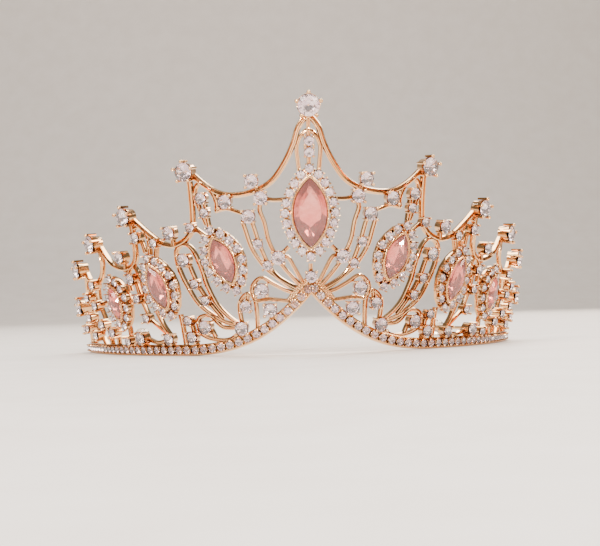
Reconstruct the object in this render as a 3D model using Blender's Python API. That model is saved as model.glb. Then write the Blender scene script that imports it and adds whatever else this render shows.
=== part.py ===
"""A tiara: an openwork crown of cast wire on a jewelled band, with seven marquise stones in halos,
round stones in claw cups, and two side wires that end in beads.

Z is up, and the band stands on Z = 0. X runs across the head and -Y to the front. Sizes are in millimetres
until the last step of each shape, which writes metres.
"""

import math

import bmesh
import bpy
from mathutils import Matrix, Vector

MM = 0.001

# The head's oval and the crown's shape
HALF_WIDTH = 72.0  # middle of the oval to the band's side
HALF_DEPTH = 80.0  # middle of the oval to the band's front
LEAN = 0.14  # how far the crown leans outwards for each millimetre of height
CROWN_HEIGHT = 71.8  # base to the middle of the top stone
BAND_ANGLE = 78.0  # degrees from the front to each end of the band
NOTCH_HEIGHT = 17.5  # the band's rise at the front
NOTCH_ANGLE = 32.0  # degrees from the front to where the band lies flat
NOTCH_POWER = 2.8  # how sharply the rise comes to its point

# Band and wires: width lies along the crown, depth goes outwards
BAND_WIDTH = 3.4
BAND_DEPTH = 2.1
BAND_STEPS = 24  # straight stretches of each half
EDGE_WIDTH = 1.7
RIB_WIDTH = 1.3
ROOT_WIDTH = 4.6  # the plate at the front of the band, where the fan's ribs meet
WIRE_DEPTH = 1.3
RAIL_WIDTH = 1.5
MITRE_LIMIT = 0.6
SAME_POINT = 0.0001
SEAM_ANGLE = 0.002  # radians
SEAM_MERGE = 0.02
PIECE_LENGTH = 5.0  # about the length of one straight facet of a wire

# Stones, by diameter
TOP_STONE = 6.5
TIP_STONE = 5.5
LARGE_STONE = 4.0
MEDIUM_STONE = 3.4
SMALL_STONE = 2.8
HALO_STONE = 2.6
HALO_PITCH = 3.1
TABLE_SHARE = 0.55  # a stone's table, of its diameter
CROWN_SHARE = 0.17  # height from girdle to table, of the diameter
PAVILION_SHARE = 0.4  # depth from girdle to point, of the diameter

# Claw cups
CUP_WALL = 0.45
SEAT_GAP = 0.2  # between a stone and its cup, and between a halo and its rail
CLAW_HEIGHT = 0.55  # claw tips above the girdle
VALLEY_DEPTH = 0.35  # rim between the claws, below the girdle
CUP_FOOT = 0.12  # how far a cup or bezel stands out behind the wires
CUP_FLOOR = 0.15  # metal between the wires' fronts and the deepest point of a cup or bezel
CUP_BACK_SHARE = 0.78  # radius of a cup's back, of its rim
CUP_SIDES = 8
TIP_SIDES = 10

# Marquise stones and their bezels
BEZEL_WALL = 0.55
BEZEL_RIM = 0.1  # the bezel's lip above the girdle's lower edge
BEZEL_FLOOR_LENGTH = 0.86  # the pocket's floor, of its mouth
BEZEL_FLOOR_WIDTH = 0.8
MARQUISE_CROWN = 1.4
MARQUISE_PAVILION = 1.5
MARQUISE_GIRDLE = 0.4
MARQUISE_STEPS = 5  # points along each side of a marquise
HALO_TIP_CLEARANCE = 2.75  # bezel's point to the middle of the halo's stones
HALO_SIDE_CLEARANCE = 2.3
HALO_POWER = 1.55  # between a lozenge and an ellipse
HALO_DEPTH = 1.3  # back of a halo to its stones' girdles

# Side wires and beads
SIDE_WIRE = 1.3  # diameter
BEAD = 6.6
SIDE_WIRE_HEIGHT = BEAD / 2  # the wire runs at the height of a bead that rests level with the band
SOLDER_OVERLAP = 0.2  # how far the wire sinks in the band's back
SIDE_WIRE_START = 73.5  # degrees, on the band's inner face
SIDE_WIRE_END = 125.0
BEAD_BORE_DEPTH = 3.4
BEAD_SIDES = 10
BEAD_RINGS = (-0.35, -0.1, 0.15, 0.38)  # latitudes of the bead's rings, as shares of half a turn


SIZES = {
    "tip": TIP_STONE,
    "large": LARGE_STONE,
    "medium": MEDIUM_STONE,
    "small": SMALL_STONE,
}

# A place on the crown is two shares: along the half band from the front to its end, and up from the band's
# lower edge to the crown's height. Each row is made on both sides.
STONES = (
    # name, along, up, size, a loose stone of its own
    ("tip_stone_1", 0.332, 0.762, "tip", True),
    ("tip_stone_2", 0.553, 0.600, "tip", True),
    ("tip_stone_3", 0.738, 0.500, "tip", True),
    ("tip_stone_4", 0.890, 0.392, "tip", True),
    ("tip_stone_5", 0.938, 0.222, "tip", True),
    ("shoulder_top_stone", 0.151, 0.688, "large", True),
    ("shoulder_stone", 0.129, 0.608, "large", True),
    ("loop_stone", 0.164, 0.542, "large", True),
    ("bridge_stone", 0.226, 0.622, "large", True),
    ("edge_top_stone_1", 0.400, 0.518, "large", True),
    ("edge_top_stone_2", 0.598, 0.430, "large", True),
    ("paisley_stone", 0.361, 0.403, "large", True),
    ("fan_stone", 0.138, 0.210, "large", True),
    ("flower_stone", 0.116, 0.103, "large", True),
    ("gate_stone", 0.186, 0.168, "medium", True),
    ("root_stone", 0.201, 0.083, "large", True),
    ("arch_stone", 0.293, 0.648, "medium", False),
    ("corner_stone", 0.333, 0.533, "small", False),
    ("leaf_plate", 0.088, 0.315, "large", False),
    ("leaf_stone", 0.311, 0.120, "large", False),
    ("sprig_stone", 0.368, 0.150, "small", False),
    ("bud_stone", 0.358, 0.081, "medium", False),
    ("second_root_stone", 0.440, 0.076, "medium", False),
    ("arch_stone_2", 0.523, 0.508, "medium", False),
    ("drop_stone", 0.565, 0.335, "medium", False),
    ("fan_tip_stone", 0.549, 0.250, "small", False),
    ("third_root_stone", 0.551, 0.080, "large", False),
    ("fifth_root_stone", 0.694, 0.105, "medium", False),
    ("end_top_stone", 0.785, 0.318, "medium", False),
    ("end_side_stone", 0.848, 0.262, "medium", False),
    ("end_mid_stone", 0.787, 0.225, "medium", False),
    ("end_low_stone", 0.757, 0.140, "medium", False),
    ("end_root_stone", 0.818, 0.090, "medium", False),
    ("end_bud_stone", 0.857, 0.172, "medium", False),
)

# Stones on the middle line
CENTRE_STONES = (
    # name, up, diameter
    ("lantern_stone", 0.816, SMALL_STONE),
    ("lantern_low_stone", 0.757, SMALL_STONE),
    ("star_stone", 0.100, MEDIUM_STONE),
)

MARQUISES = (
    # name, along, up, length, width, lean in degrees
    ("centre", 0.0, 0.440, 20.0, 9.6, 0.0),
    ("1", 0.2415, 0.3835, 13.6, 6.6, 20.5),
    ("2", 0.456, 0.2975, 13.4, 6.2, 22.0),
    ("3", 0.6455, 0.2365, 10.4, 5.0, 18.5),
)

# Wires pass through stones, by name, or through places given by the two shares
ACROSS_WIRES = (
    # width, points from the middle outwards; the other side mirrors them
    (ROOT_WIDTH, ((0.0, 0.052), (0.052, 0.052))),
    (EDGE_WIDTH, ((0.0, 0.942), (0.026, 0.893), (0.041, 0.814), (0.066, 0.732), (0.104, 0.664),
                  (0.160, 0.640), (0.226, 0.648), (0.280, 0.690), "tip_stone_1")),
    (RIB_WIDTH, ((0.0, 0.872), (0.020, 0.848), (0.031, 0.800), (0.030, 0.745), (0.026, 0.672))),
)
MIDDLE_WIRES = (
    # width, heights on the middle line
    (RIB_WIDTH, (0.960, 0.690)),
    (RIB_WIDTH, (0.165, 0.020)),
)
WIRES = (
    (EDGE_WIDTH, ("tip_stone_1", (0.330, 0.663), (0.331, 0.576), (0.337, 0.523), (0.362, 0.483), (0.405, 0.463),
                  (0.451, 0.484), (0.500, 0.535), "tip_stone_2")),
    (EDGE_WIDTH, ("tip_stone_2", (0.548, 0.482), (0.552, 0.417), (0.578, 0.383), (0.629, 0.383), (0.684, 0.418),
                  "tip_stone_3")),
    (EDGE_WIDTH, ("tip_stone_3", (0.728, 0.410), (0.745, 0.355), (0.785, 0.325), (0.842, 0.330), "tip_stone_4")),
    (EDGE_WIDTH, ("tip_stone_4", (0.902, 0.310), (0.912, 0.250), "tip_stone_5", (0.960, 0.130), (0.972, 0.030))),
    # The loops under the points, and the bars between them
    (RIB_WIDTH, ((0.256, 0.560), (0.256, 0.620), (0.270, 0.672), (0.302, 0.708), (0.318, 0.670), (0.306, 0.600),
                 (0.290, 0.535))),
    (RIB_WIDTH, ((0.490, 0.430), (0.490, 0.500), (0.512, 0.548), (0.545, 0.545))),
    (RIB_WIDTH, ("loop_stone", (0.200, 0.572), (0.230, 0.592), (0.262, 0.588))),
    (RIB_WIDTH, ("bridge_stone", (0.230, 0.655))),
    (RIB_WIDTH, ("shoulder_stone", (0.100, 0.582), (0.062, 0.562))),
    (RIB_WIDTH, ("shoulder_top_stone", "shoulder_stone")),
    (RIB_WIDTH, ("edge_top_stone_1", (0.402, 0.462))),
    (RIB_WIDTH, ("edge_top_stone_2", (0.604, 0.362))),
    (RIB_WIDTH, ("corner_stone", (0.296, 0.490))),
    (RIB_WIDTH, ("arch_stone", (0.288, 0.588), (0.283, 0.515))),
    (RIB_WIDTH, ((0.459, 0.480), (0.470, 0.415))),
    (RIB_WIDTH, ((0.552, 0.500), "arch_stone_2", (0.507, 0.440))),
    # The fan that spreads from the front of the band
    (RIB_WIDTH, ("leaf_plate", (0.064, 0.290), (0.041, 0.195), (0.014, 0.060))),
    (RIB_WIDTH, ("leaf_plate", (0.060, 0.335))),
    (RIB_WIDTH, ("shoulder_stone", (0.137, 0.560), (0.125, 0.493), (0.116, 0.411), (0.098, 0.333), (0.070, 0.235),
                 (0.018, 0.060))),
    (RIB_WIDTH, ("loop_stone", (0.152, 0.470), (0.141, 0.405), (0.119, 0.305), (0.088, 0.215), (0.020, 0.055))),
    (RIB_WIDTH, ("loop_stone", (0.184, 0.530), (0.178, 0.480), (0.162, 0.395), (0.129, 0.300), (0.096, 0.228),
                 (0.060, 0.145), (0.022, 0.050))),
    (RIB_WIDTH, ((0.024, 0.045), (0.068, 0.133), (0.106, 0.205), (0.142, 0.262), (0.170, 0.235), (0.160, 0.175),
                 (0.120, 0.150), (0.060, 0.075), (0.026, 0.040))),
    (RIB_WIDTH, ("fan_stone", (0.170, 0.228))),
    (RIB_WIDTH, ("flower_stone", (0.120, 0.020))),
    (RIB_WIDTH, ((0.160, 0.020), (0.159, 0.110), (0.163, 0.180), (0.184, 0.218), (0.208, 0.190), (0.208, 0.130),
                 "root_stone")),
    (RIB_WIDTH, ("gate_stone", (0.184, 0.218))),
    (RIB_WIDTH, ("root_stone", (0.206, 0.015))),
    # The paisley between the second and third points, with its stem and leaf
    (RIB_WIDTH, ("root_stone", (0.246, 0.146), (0.279, 0.207), (0.304, 0.286), (0.316, 0.350), (0.338, 0.435),
                 (0.366, 0.466), (0.394, 0.440), (0.391, 0.370), (0.366, 0.285), (0.338, 0.219), (0.306, 0.176),
                 (0.262, 0.130), "root_stone")),
    (RIB_WIDTH, ("paisley_stone", (0.335, 0.301), (0.306, 0.228), (0.262, 0.140))),
    (RIB_WIDTH, ("root_stone", (0.262, 0.105), (0.300, 0.160), (0.340, 0.155), (0.338, 0.095), (0.296, 0.062),
                 (0.240, 0.050), "root_stone")),
    (RIB_WIDTH, ("sprig_stone", "bud_stone", (0.352, 0.015))),
    (RIB_WIDTH, ("sprig_stone", "leaf_stone", (0.290, 0.068))),
    (RIB_WIDTH, ((0.392, 0.015), (0.396, 0.100), (0.402, 0.175))),
    # The second fan, the drop's loop and the small roots on the band
    (RIB_WIDTH, ("second_root_stone", (0.440, 0.015))),
    (RIB_WIDTH, ("second_root_stone", (0.468, 0.130), (0.488, 0.190))),
    (RIB_WIDTH, ("second_root_stone", (0.490, 0.128), (0.520, 0.165), "fan_tip_stone")),
    (RIB_WIDTH, ("second_root_stone", (0.500, 0.056), "third_root_stone")),
    (RIB_WIDTH, ("third_root_stone", (0.551, 0.015))),
    (RIB_WIDTH, ((0.530, 0.235), (0.533, 0.300), (0.548, 0.360), (0.570, 0.388), (0.596, 0.345), (0.590, 0.280))),
    (RIB_WIDTH, ("drop_stone", "fan_tip_stone")),
    (RIB_WIDTH, ((0.616, 0.015), (0.622, 0.125))),
    (RIB_WIDTH, ("fifth_root_stone", (0.694, 0.015))),
    (RIB_WIDTH, ("fifth_root_stone", (0.676, 0.150))),
    # The end loops, between the fourth point and the band's end
    (RIB_WIDTH, ((0.735, 0.015), "end_low_stone", "end_mid_stone", "end_top_stone")),
    (RIB_WIDTH, ((0.770, 0.015), "end_root_stone", "end_bud_stone", "end_side_stone", (0.860, 0.330))),
    (RIB_WIDTH, ("end_mid_stone", (0.815, 0.270), "end_side_stone")),
    (RIB_WIDTH, ("end_low_stone", (0.790, 0.115), "end_root_stone")),
    (RIB_WIDTH, ("end_bud_stone", (0.906, 0.130), (0.930, 0.020))),
    (RIB_WIDTH, ("end_mid_stone", (0.735, 0.235), (0.700, 0.240))),
)

COLOURS = {
    "rose_gold": ((0.80, 0.50, 0.27, 1.0), 1.0, 0.2),
    "clear_glass": ((0.93, 0.88, 0.87, 1.0), 0.0, 0.05),
    "pink_glass": ((0.85, 0.38, 0.35, 1.0), 0.0, 0.05),
    "champagne_glass": ((0.88, 0.78, 0.68, 1.0), 0.0, 0.08),
}


def clear_scene():
    for thing in list(bpy.data.objects):
        bpy.data.objects.remove(thing, do_unlink=True)


def make_material(name):
    colour, metallic, roughness = COLOURS[name]
    material = bpy.data.materials.new(name)
    material.use_nodes = True
    shader = material.node_tree.nodes["Principled BSDF"]
    shader.inputs["Base Color"].default_value = colour
    shader.inputs["Metallic"].default_value = metallic
    shader.inputs["Roughness"].default_value = roughness
    material.diffuse_color = colour
    return material


# The crown's surface

def base_height(angle):
    """Height of the band's lower edge, at an angle in degrees from the front."""
    rise = max(0.0, 1.0 - abs(angle) / NOTCH_ANGLE)
    return NOTCH_HEIGHT * rise**NOTCH_POWER


def surface(angle, height):
    """The point at an angle and a height, on the leaning oval."""
    turn = math.radians(angle)
    spread = 1.0 + LEAN * height / HALF_WIDTH
    return Vector((HALF_WIDTH * spread * math.sin(turn), -HALF_DEPTH * spread * math.cos(turn), height))


def level_outwards(angle):
    """The level direction straight out of the oval."""
    turn = math.radians(angle)
    return Vector((HALF_DEPTH * math.sin(turn), -HALF_WIDTH * math.cos(turn), 0.0)).normalized()


def seat(angle, height, lift=0.0, lean=0.0):
    """Axes at a place: X along the crown, Y up it and Z outwards, leant clockwise as seen from the front."""
    step = 0.01
    along = (surface(angle + step, height) - surface(angle - step, height)).normalized()
    upward = (surface(angle, height + step) - surface(angle, height - step)).normalized()
    outwards = along.cross(upward).normalized()
    upward = outwards.cross(along)
    place = surface(angle, height) + outwards * lift
    axes = Matrix((along, upward, outwards)).transposed().to_4x4()
    return Matrix.Translation(place) @ axes @ Matrix.Rotation(-math.radians(lean), 4, "Z")


def flatten(point):
    """The place of a point when the crown is unrolled: along it, up it and out of it."""
    foot = point
    for _ in range(4):
        angle = math.degrees(math.atan2(foot.x / HALF_WIDTH, -foot.y / HALF_DEPTH))
        outwards = level_outwards(angle)
        depth = (point - surface(angle, point.z)).dot(outwards)
        foot = point - outwards * depth
    return Vector((angle * ALONG_SCALE, point.z, depth))


def rolled(point):
    """The opposite of flatten."""
    angle = point.x / ALONG_SCALE
    return surface(angle, point.y) + level_outwards(angle) * point.z


def place_of(along, up):
    """Angle and height of a place given by its two shares."""
    angle = along * BAND_ANGLE
    base = base_height(angle)
    return angle, base + up * (CROWN_HEIGHT - base)


ALONG_SCALE = math.radians(HALF_WIDTH + HALF_DEPTH) / 2  # flat length of one degree, when unrolled
PLACES = {row[0]: place_of(row[1], row[2]) for row in STONES}


def route_points(points, side):
    """Angles and heights of a wire's points, on one side."""
    found = [PLACES[point] if isinstance(point, str) else place_of(*point) for point in points]
    return [(side * angle, height) for angle, height in found]


# Building shapes

def loft(rings, closed=False):
    """A closed shape through rings of as many points each; a ring of one point is a tip.

    Points that two rings share become one."""
    shape = bmesh.new()
    loops = [[shape.verts.new(point) for point in ring] for ring in rings]
    pairs = list(zip(loops, loops[1:]))
    if closed:
        pairs.append((loops[-1], loops[0]))
    for lower, upper in pairs:
        count = max(len(lower), len(upper))
        for i in range(count):
            j = (i + 1) % count
            corners = [lower[i % len(lower)], lower[j % len(lower)], upper[j % len(upper)], upper[i % len(upper)]]
            shape.faces.new(list(dict.fromkeys(corners)))
    if not closed:
        for loop in (loops[0], loops[-1]):
            if len(loop) > 2:
                shape.faces.new(loop)
    bmesh.ops.remove_doubles(shape, verts=shape.verts, dist=SAME_POINT)
    return shape


def finish(name, shape, material):
    """Make an object of a shape in millimetres."""
    bmesh.ops.recalc_face_normals(shape, faces=shape.faces)
    bmesh.ops.scale(shape, vec=(MM, MM, MM), verts=shape.verts)
    mesh = bpy.data.meshes.new(name)
    shape.to_mesh(mesh)
    shape.free()
    mesh.materials.append(material)
    bpy.context.scene.collection.objects.link(bpy.data.objects.new(name, mesh))


def solder(name, shape, joined, rolled_up=True):
    """Put a shape among the pieces of the frame, which are joined while the crown is unrolled."""
    if rolled_up:
        for vert in shape.verts:
            vert.co = flatten(vert.co)
    bmesh.ops.recalc_face_normals(shape, faces=shape.faces)
    mesh = bpy.data.meshes.new(name)
    shape.to_mesh(mesh)
    shape.free()
    thing = bpy.data.objects.new(name, mesh)
    joined.objects.link(thing)
    return thing


def circle(radius, height, sides, spin=0.0):
    """Points of a ring round the Z axis."""
    return [Vector((radius * math.cos(math.tau * (i + spin) / sides), radius * math.sin(math.tau * (i + spin) / sides),
                    height)) for i in range(sides)]


def moved(rings, matrix):
    return [[matrix @ point for point in ring] for ring in rings]


def spline(points, parts):
    """Points along a smooth curve through the given ones, which it keeps."""
    ends = [points[0]] + list(points) + [points[-1]]
    found = []
    for i, count in enumerate(parts):
        a, b, c, d = (Vector(point) for point in ends[i:i + 4])
        for k in range(count):
            t = k / count
            found.append(0.5 * (2 * b + (c - a) * t + (2 * a - 5 * b + 4 * c - d) * t**2
                                + (3 * b - a - 3 * c + d) * t**3))
    return found + [Vector(points[-1])]


def strip_rings(points, width, depth, closed=False):
    """Four-cornered sections of a flat strip along unrolled points, mitred at its bends."""
    rings = []
    count = len(points)
    for i, spot in enumerate(points):
        before = points[i - 1] if closed or i else spot
        after = points[(i + 1) % count] if closed or i < count - 1 else spot
        first = (spot - before).normalized() if before != spot else (after - spot).normalized()
        second = (after - spot).normalized() if after != spot else first
        ahead = (first + second).normalized()
        side = Vector((-ahead.y, ahead.x, 0.0)) * (width / 2 / max(MITRE_LIMIT, ahead.dot(second)))
        outwards = Vector((0.0, 0.0, depth))
        rings.append([spot - side, spot + side, spot + side + outwards, spot - side + outwards])
    return rings


def wire(points, width, closed=False):
    """A cast wire with a flat back, unrolled, through angles and heights."""
    spots = [Vector((angle * ALONG_SCALE, height, 0.0)) for angle, height in points]
    if not closed:
        spots = spline(spots, [max(1, round((b - a).length / PIECE_LENGTH)) for a, b in zip(spots, spots[1:])])
    return loft(strip_rings(spots, width, WIRE_DEPTH, closed), closed)


# Round stones and their cups

def cup_depth(diameter):
    """Height of a stone's girdle above the crown's surface."""
    return PAVILION_SHARE * diameter + SEAT_GAP + CUP_FLOOR + WIRE_DEPTH


def stone_rings(diameter, sides):
    radius = diameter / 2
    return [
        [Vector((0.0, 0.0, -PAVILION_SHARE * diameter))],
        circle(radius, 0.0, sides),
        circle(radius * TABLE_SHARE, CROWN_SHARE * diameter, sides, 0.5),
    ]


def claw_ring(radius, sides):
    """A ring that rises to a claw at every other point."""
    ring = circle(radius, -VALLEY_DEPTH, sides)
    for point in ring[::2]:
        point.z = CLAW_HEIGHT
    return ring


def cup_rings(diameter, sides):
    inner = diameter / 2 + SEAT_GAP
    outer = inner + CUP_WALL
    return [
        circle(outer * CUP_BACK_SHARE, -cup_depth(diameter) - CUP_FOOT, sides),
        claw_ring(outer, sides),
        claw_ring(inner, sides),
        circle(inner, -VALLEY_DEPTH, sides),
        [Vector((0.0, 0.0, -PAVILION_SHARE * diameter - SEAT_GAP))],
    ]


def set_stone_rings(diameter, sides):
    """A small cup with its stone fused in it."""
    outer = diameter / 2 + CUP_WALL
    return [
        circle(outer * CUP_BACK_SHARE, -cup_depth(diameter) - CUP_FOOT, sides),
        circle(outer, -VALLEY_DEPTH, sides),
        circle(diameter / 2 * TABLE_SHARE, CROWN_SHARE * diameter, sides, 0.5),
    ]


def stone_seat(angle, height, diameter, lean=0.0):
    return seat(angle, height, cup_depth(diameter), lean)


def make_cup(name, matrix, diameter, sides, joined):
    solder(name + "_cup", loft(moved(cup_rings(diameter, sides), matrix)), joined)


def make_round_stones(clear, joined):
    for name, along, up, size, loose in STONES:
        diameter = SIZES[size]
        sides = TIP_SIDES if size == "tip" else CUP_SIDES
        for side, word in ((-1, "left"), (1, "right")):
            angle, height = PLACES[name]
            matrix = stone_seat(side * angle, height, diameter)
            if loose:
                label = f"{name}_{word}"
                make_cup(label, matrix, diameter, sides, joined)
                finish(label, loft(moved(stone_rings(diameter, sides), matrix)), clear)
            else:
                solder(f"{name}_{word}", loft(moved(set_stone_rings(diameter, sides), matrix)), joined)
    top = stone_seat(0.0, CROWN_HEIGHT, TOP_STONE)
    make_cup("top_stone", top, TOP_STONE, TIP_SIDES, joined)
    finish("top_stone", loft(moved(stone_rings(TOP_STONE, TIP_SIDES), top)), clear)
    for name, up, diameter in CENTRE_STONES:
        matrix = stone_seat(*place_of(0.0, up), diameter)
        solder(name, loft(moved(set_stone_rings(diameter, CUP_SIDES), matrix)), joined)


# Marquise stones, their bezels and halos

def marquise_ring(length, width, height):
    """Two arcs that meet in points at both ends, along Y."""
    half, bulge = length / 2, width / 2
    radius = (half**2 + bulge**2) / (2 * bulge)
    reach = math.asin(half / radius)
    ring = []
    for sign in (1, -1):
        for k in range(MARQUISE_STEPS):
            turn = reach * (2 * k / MARQUISE_STEPS - 1)
            ring.append(Vector((sign * (radius * math.cos(turn) - radius + bulge), sign * radius * math.sin(turn),
                                height)))
    return ring


def marquise_girdle():
    """Height of a marquise's girdle above the crown's surface."""
    return WIRE_DEPTH + CUP_FLOOR + SEAT_GAP + MARQUISE_PAVILION


def grown(length, width, height, by):
    """A marquise ring with all its sides moved out; its points move further, in step with their sharpness."""
    return marquise_ring(length + 2 * by * length / width * 0.8, width + 2 * by, height)


def make_marquise(name, matrix, length, width, pink, joined):
    stone = [
        marquise_ring(length * 0.45, width * 0.2, -MARQUISE_PAVILION),
        marquise_ring(length, width, 0.0),
        marquise_ring(length, width, MARQUISE_GIRDLE),
        marquise_ring(length * 0.62, width * TABLE_SHARE, MARQUISE_CROWN),
    ]
    finish("marquise_" + name, loft(moved(stone, matrix)), pink)
    floor = -MARQUISE_PAVILION - SEAT_GAP
    bezel = [
        grown(length, width, floor - CUP_FLOOR - WIRE_DEPTH - CUP_FOOT, SEAT_GAP),
        grown(length, width, BEZEL_RIM, SEAT_GAP + BEZEL_WALL),
        grown(length, width, BEZEL_RIM, SEAT_GAP),
        grown(length * BEZEL_FLOOR_LENGTH, width * BEZEL_FLOOR_WIDTH, floor, SEAT_GAP),
    ]
    solder(f"bezel_{name}", loft(moved(bezel, matrix)), joined)


def halo_path(length, width):
    """Middles of a halo's stones, as flat points round the marquise, evenly spaced."""
    half = length / 2 + HALO_TIP_CLEARANCE
    bulge = width / 2 + HALO_SIDE_CLEARANCE
    fine = []
    steps = 360
    for k in range(steps):
        turn = math.tau * k / steps
        x, y = math.sin(turn), math.cos(turn)
        fine.append(Vector((bulge * math.copysign(abs(x) ** (2 / HALO_POWER), x),
                            half * math.copysign(abs(y) ** (2 / HALO_POWER), y))))
    lengths = [0.0]
    for a, b in zip(fine, fine[1:] + fine[:1]):
        lengths.append(lengths[-1] + (b - a).length)
    count = 2 * round(lengths[-1] / HALO_PITCH / 2)
    found = []
    for k in range(count):
        target = lengths[-1] * k / count
        i = max(j for j, value in enumerate(lengths) if value <= target + 1e-9) % steps
        found.append(fine[i])
    return found


def on_surface(matrix, point, lift):
    """The place in front of the crown's surface at a flat point of a stone's own axes."""
    spot = matrix @ Vector((point.x, point.y, 0.0))
    angle = math.degrees(math.atan2(spot.x / HALF_WIDTH, -spot.y / HALF_DEPTH))
    return seat(angle, spot.z, lift), (angle, spot.z)


def make_halo(name, matrix, length, width, clear, joined):
    path = halo_path(length, width)
    count = len(path)
    spots = [on_surface(matrix, point, 0.0)[1] for point in path[::2]]
    solder(f"rail_{name}", wire(spots, RAIL_WIDTH, True), joined, False)

    back = WIRE_DEPTH + SEAT_GAP
    shape = bmesh.new()
    radius = HALO_STONE / 2
    joints = []
    stones = []
    for k, point in enumerate(path):
        following = path[(k + 1) % count]
        ahead = (following - point).normalized()
        aside = Vector((ahead.y, -ahead.x))
        middle = (point + following) / 2
        corners = []
        for sign, lift in ((1, back), (-1, back), (-1, back + HALO_DEPTH), (1, back + HALO_DEPTH)):
            spot = middle + aside * sign * radius * 0.42
            corners.append(shape.verts.new(on_surface(matrix, spot, lift)[0].translation))
        joints.append(corners)
        before = path[k - 1]
        run = (following - before).normalized()
        outer = Vector((run.y, -run.x))
        bulges = []
        for sign in (1, -1):
            for shift in (-0.42, 0.42):
                spot = point + outer * sign * radius + run * radius * shift
                bulges.append([shape.verts.new(on_surface(matrix, spot, lift)[0].translation)
                               for lift in (back, back + HALO_DEPTH)])
        table = [shape.verts.new(on_surface(matrix, point + (outer * a + run * b) * radius * 0.6,
                                            back + HALO_DEPTH + CROWN_SHARE * HALO_STONE)[0].translation)
                 for a, b in ((1, 0), (0, -1), (-1, 0), (0, 1))]
        stones.append((bulges, table))
    for k, (bulges, table) in enumerate(stones):
        start, end = joints[k - 1], joints[k]
        (a0, a1), (b0, b1), (c0, c1), (d0, d1) = bulges
        # Round the stone: its outer side forwards, the next joint, its inner side backwards, the last joint
        rim = [start[3], a1, b1, end[3], end[2], d1, c1, start[2]]
        sole = [start[0], a0, b0, end[0], end[1], d0, c0, start[1]]
        for i, j in ((0, 1), (1, 2), (2, 3), (4, 5), (5, 6), (6, 7)):
            shape.faces.new((sole[i], sole[j], rim[j], rim[i]))
        shape.faces.new(list(reversed(sole)))
        shape.faces.new(table)
        # Facets from the eight rim points to the table's four corners
        ring = (rim[1], rim[2], rim[3], rim[4], rim[5], rim[6], rim[7], rim[0])
        tops = (table[0], table[0], table[3], table[3], table[2], table[2], table[1], table[1])
        for i in range(8):
            j = (i + 1) % 8
            shape.faces.new(list(dict.fromkeys((ring[i], ring[j], tops[j], tops[i]))))
    finish(f"halo_{name}", shape, clear)


def make_jewel(name, angle, height, length, width, lean, pink, clear, joined):
    """One marquise with its bezel, its halo, the rail behind that and the four bars between them."""
    matrix = seat(angle, height, marquise_girdle(), lean)
    make_marquise(name, matrix, length, width, pink, joined)
    flat = seat(angle, height, 0.0, lean)
    make_halo(name, flat, length, width, clear, joined)
    reach = length / 2 + HALO_TIP_CLEARANCE
    spread = width / 2 + HALO_SIDE_CLEARANCE
    for k, (start, end) in enumerate((
            (Vector((0.0, length * 0.4)), Vector((0.0, reach))),
            (Vector((0.0, -length * 0.4)), Vector((0.0, -reach))),
            (Vector((width * 0.4, 0.0)), Vector((spread, 0.0))),
            (Vector((-width * 0.4, 0.0)), Vector((-spread, 0.0))))):
        spots = [on_surface(flat, point, 0.0)[1] for point in (start, end)]
        solder(f"bar_{name}_{k}", wire(spots, RIB_WIDTH), joined, False)


def make_jewels(pink, clear, joined):
    for name, along, up, length, width, lean in MARQUISES:
        angle, height = place_of(along, up)
        if name == "centre":
            make_jewel(name, 0.0, height, length, width, 0.0, pink, clear, joined)
            continue
        for side, word in ((-1, "left"), (1, "right")):
            make_jewel(f"{word}_{name}", side * angle, height, length, width, side * lean, pink, clear, joined)


# Band, wires and side wires

def band_loop():
    """The base band, unrolled; its lower face is level, so that the crown stands on it."""
    angles = [BAND_ANGLE * (k / BAND_STEPS) ** 1.15 for k in range(BAND_STEPS + 1)]
    angles = [-angle for angle in reversed(angles)] + angles[1:]
    rings = []
    for angle in angles:
        low = base_height(angle)
        slope = (base_height(abs(angle) + 0.5) - low) / (ALONG_SCALE * 0.5)
        top = low + BAND_WIDTH * math.hypot(1.0, slope)
        x = angle * ALONG_SCALE
        rings.append([Vector((x, y, z)) for y, z in ((low, 0.0), (low, BAND_DEPTH), (top, BAND_DEPTH), (top, 0.0))])
    return loft(rings)


def make_wires(joined):
    for k, (width, points) in enumerate(ACROSS_WIRES):
        half = route_points(points, 1)
        whole = [(-angle, height) for angle, height in reversed(half[1:])] + half
        solder(f"top_wire_{k}", wire(whole, width), joined, False)
    for k, (width, heights) in enumerate(MIDDLE_WIRES):
        route = [place_of(0.0, up) for up in heights]
        solder(f"middle_wire_{k}", wire(route, width), joined, False)
    for k, (width, points) in enumerate(WIRES):
        for side, word in ((-1, "left"), (1, "right")):
            route = route_points(points, side)
            solder(f"wire_{word}_{k}", wire(route, width), joined, False)


def side_wire_point(angle):
    return surface(angle, SIDE_WIRE_HEIGHT) - level_outwards(angle) * (SIDE_WIRE / 2 - SOLDER_OVERLAP)


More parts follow.
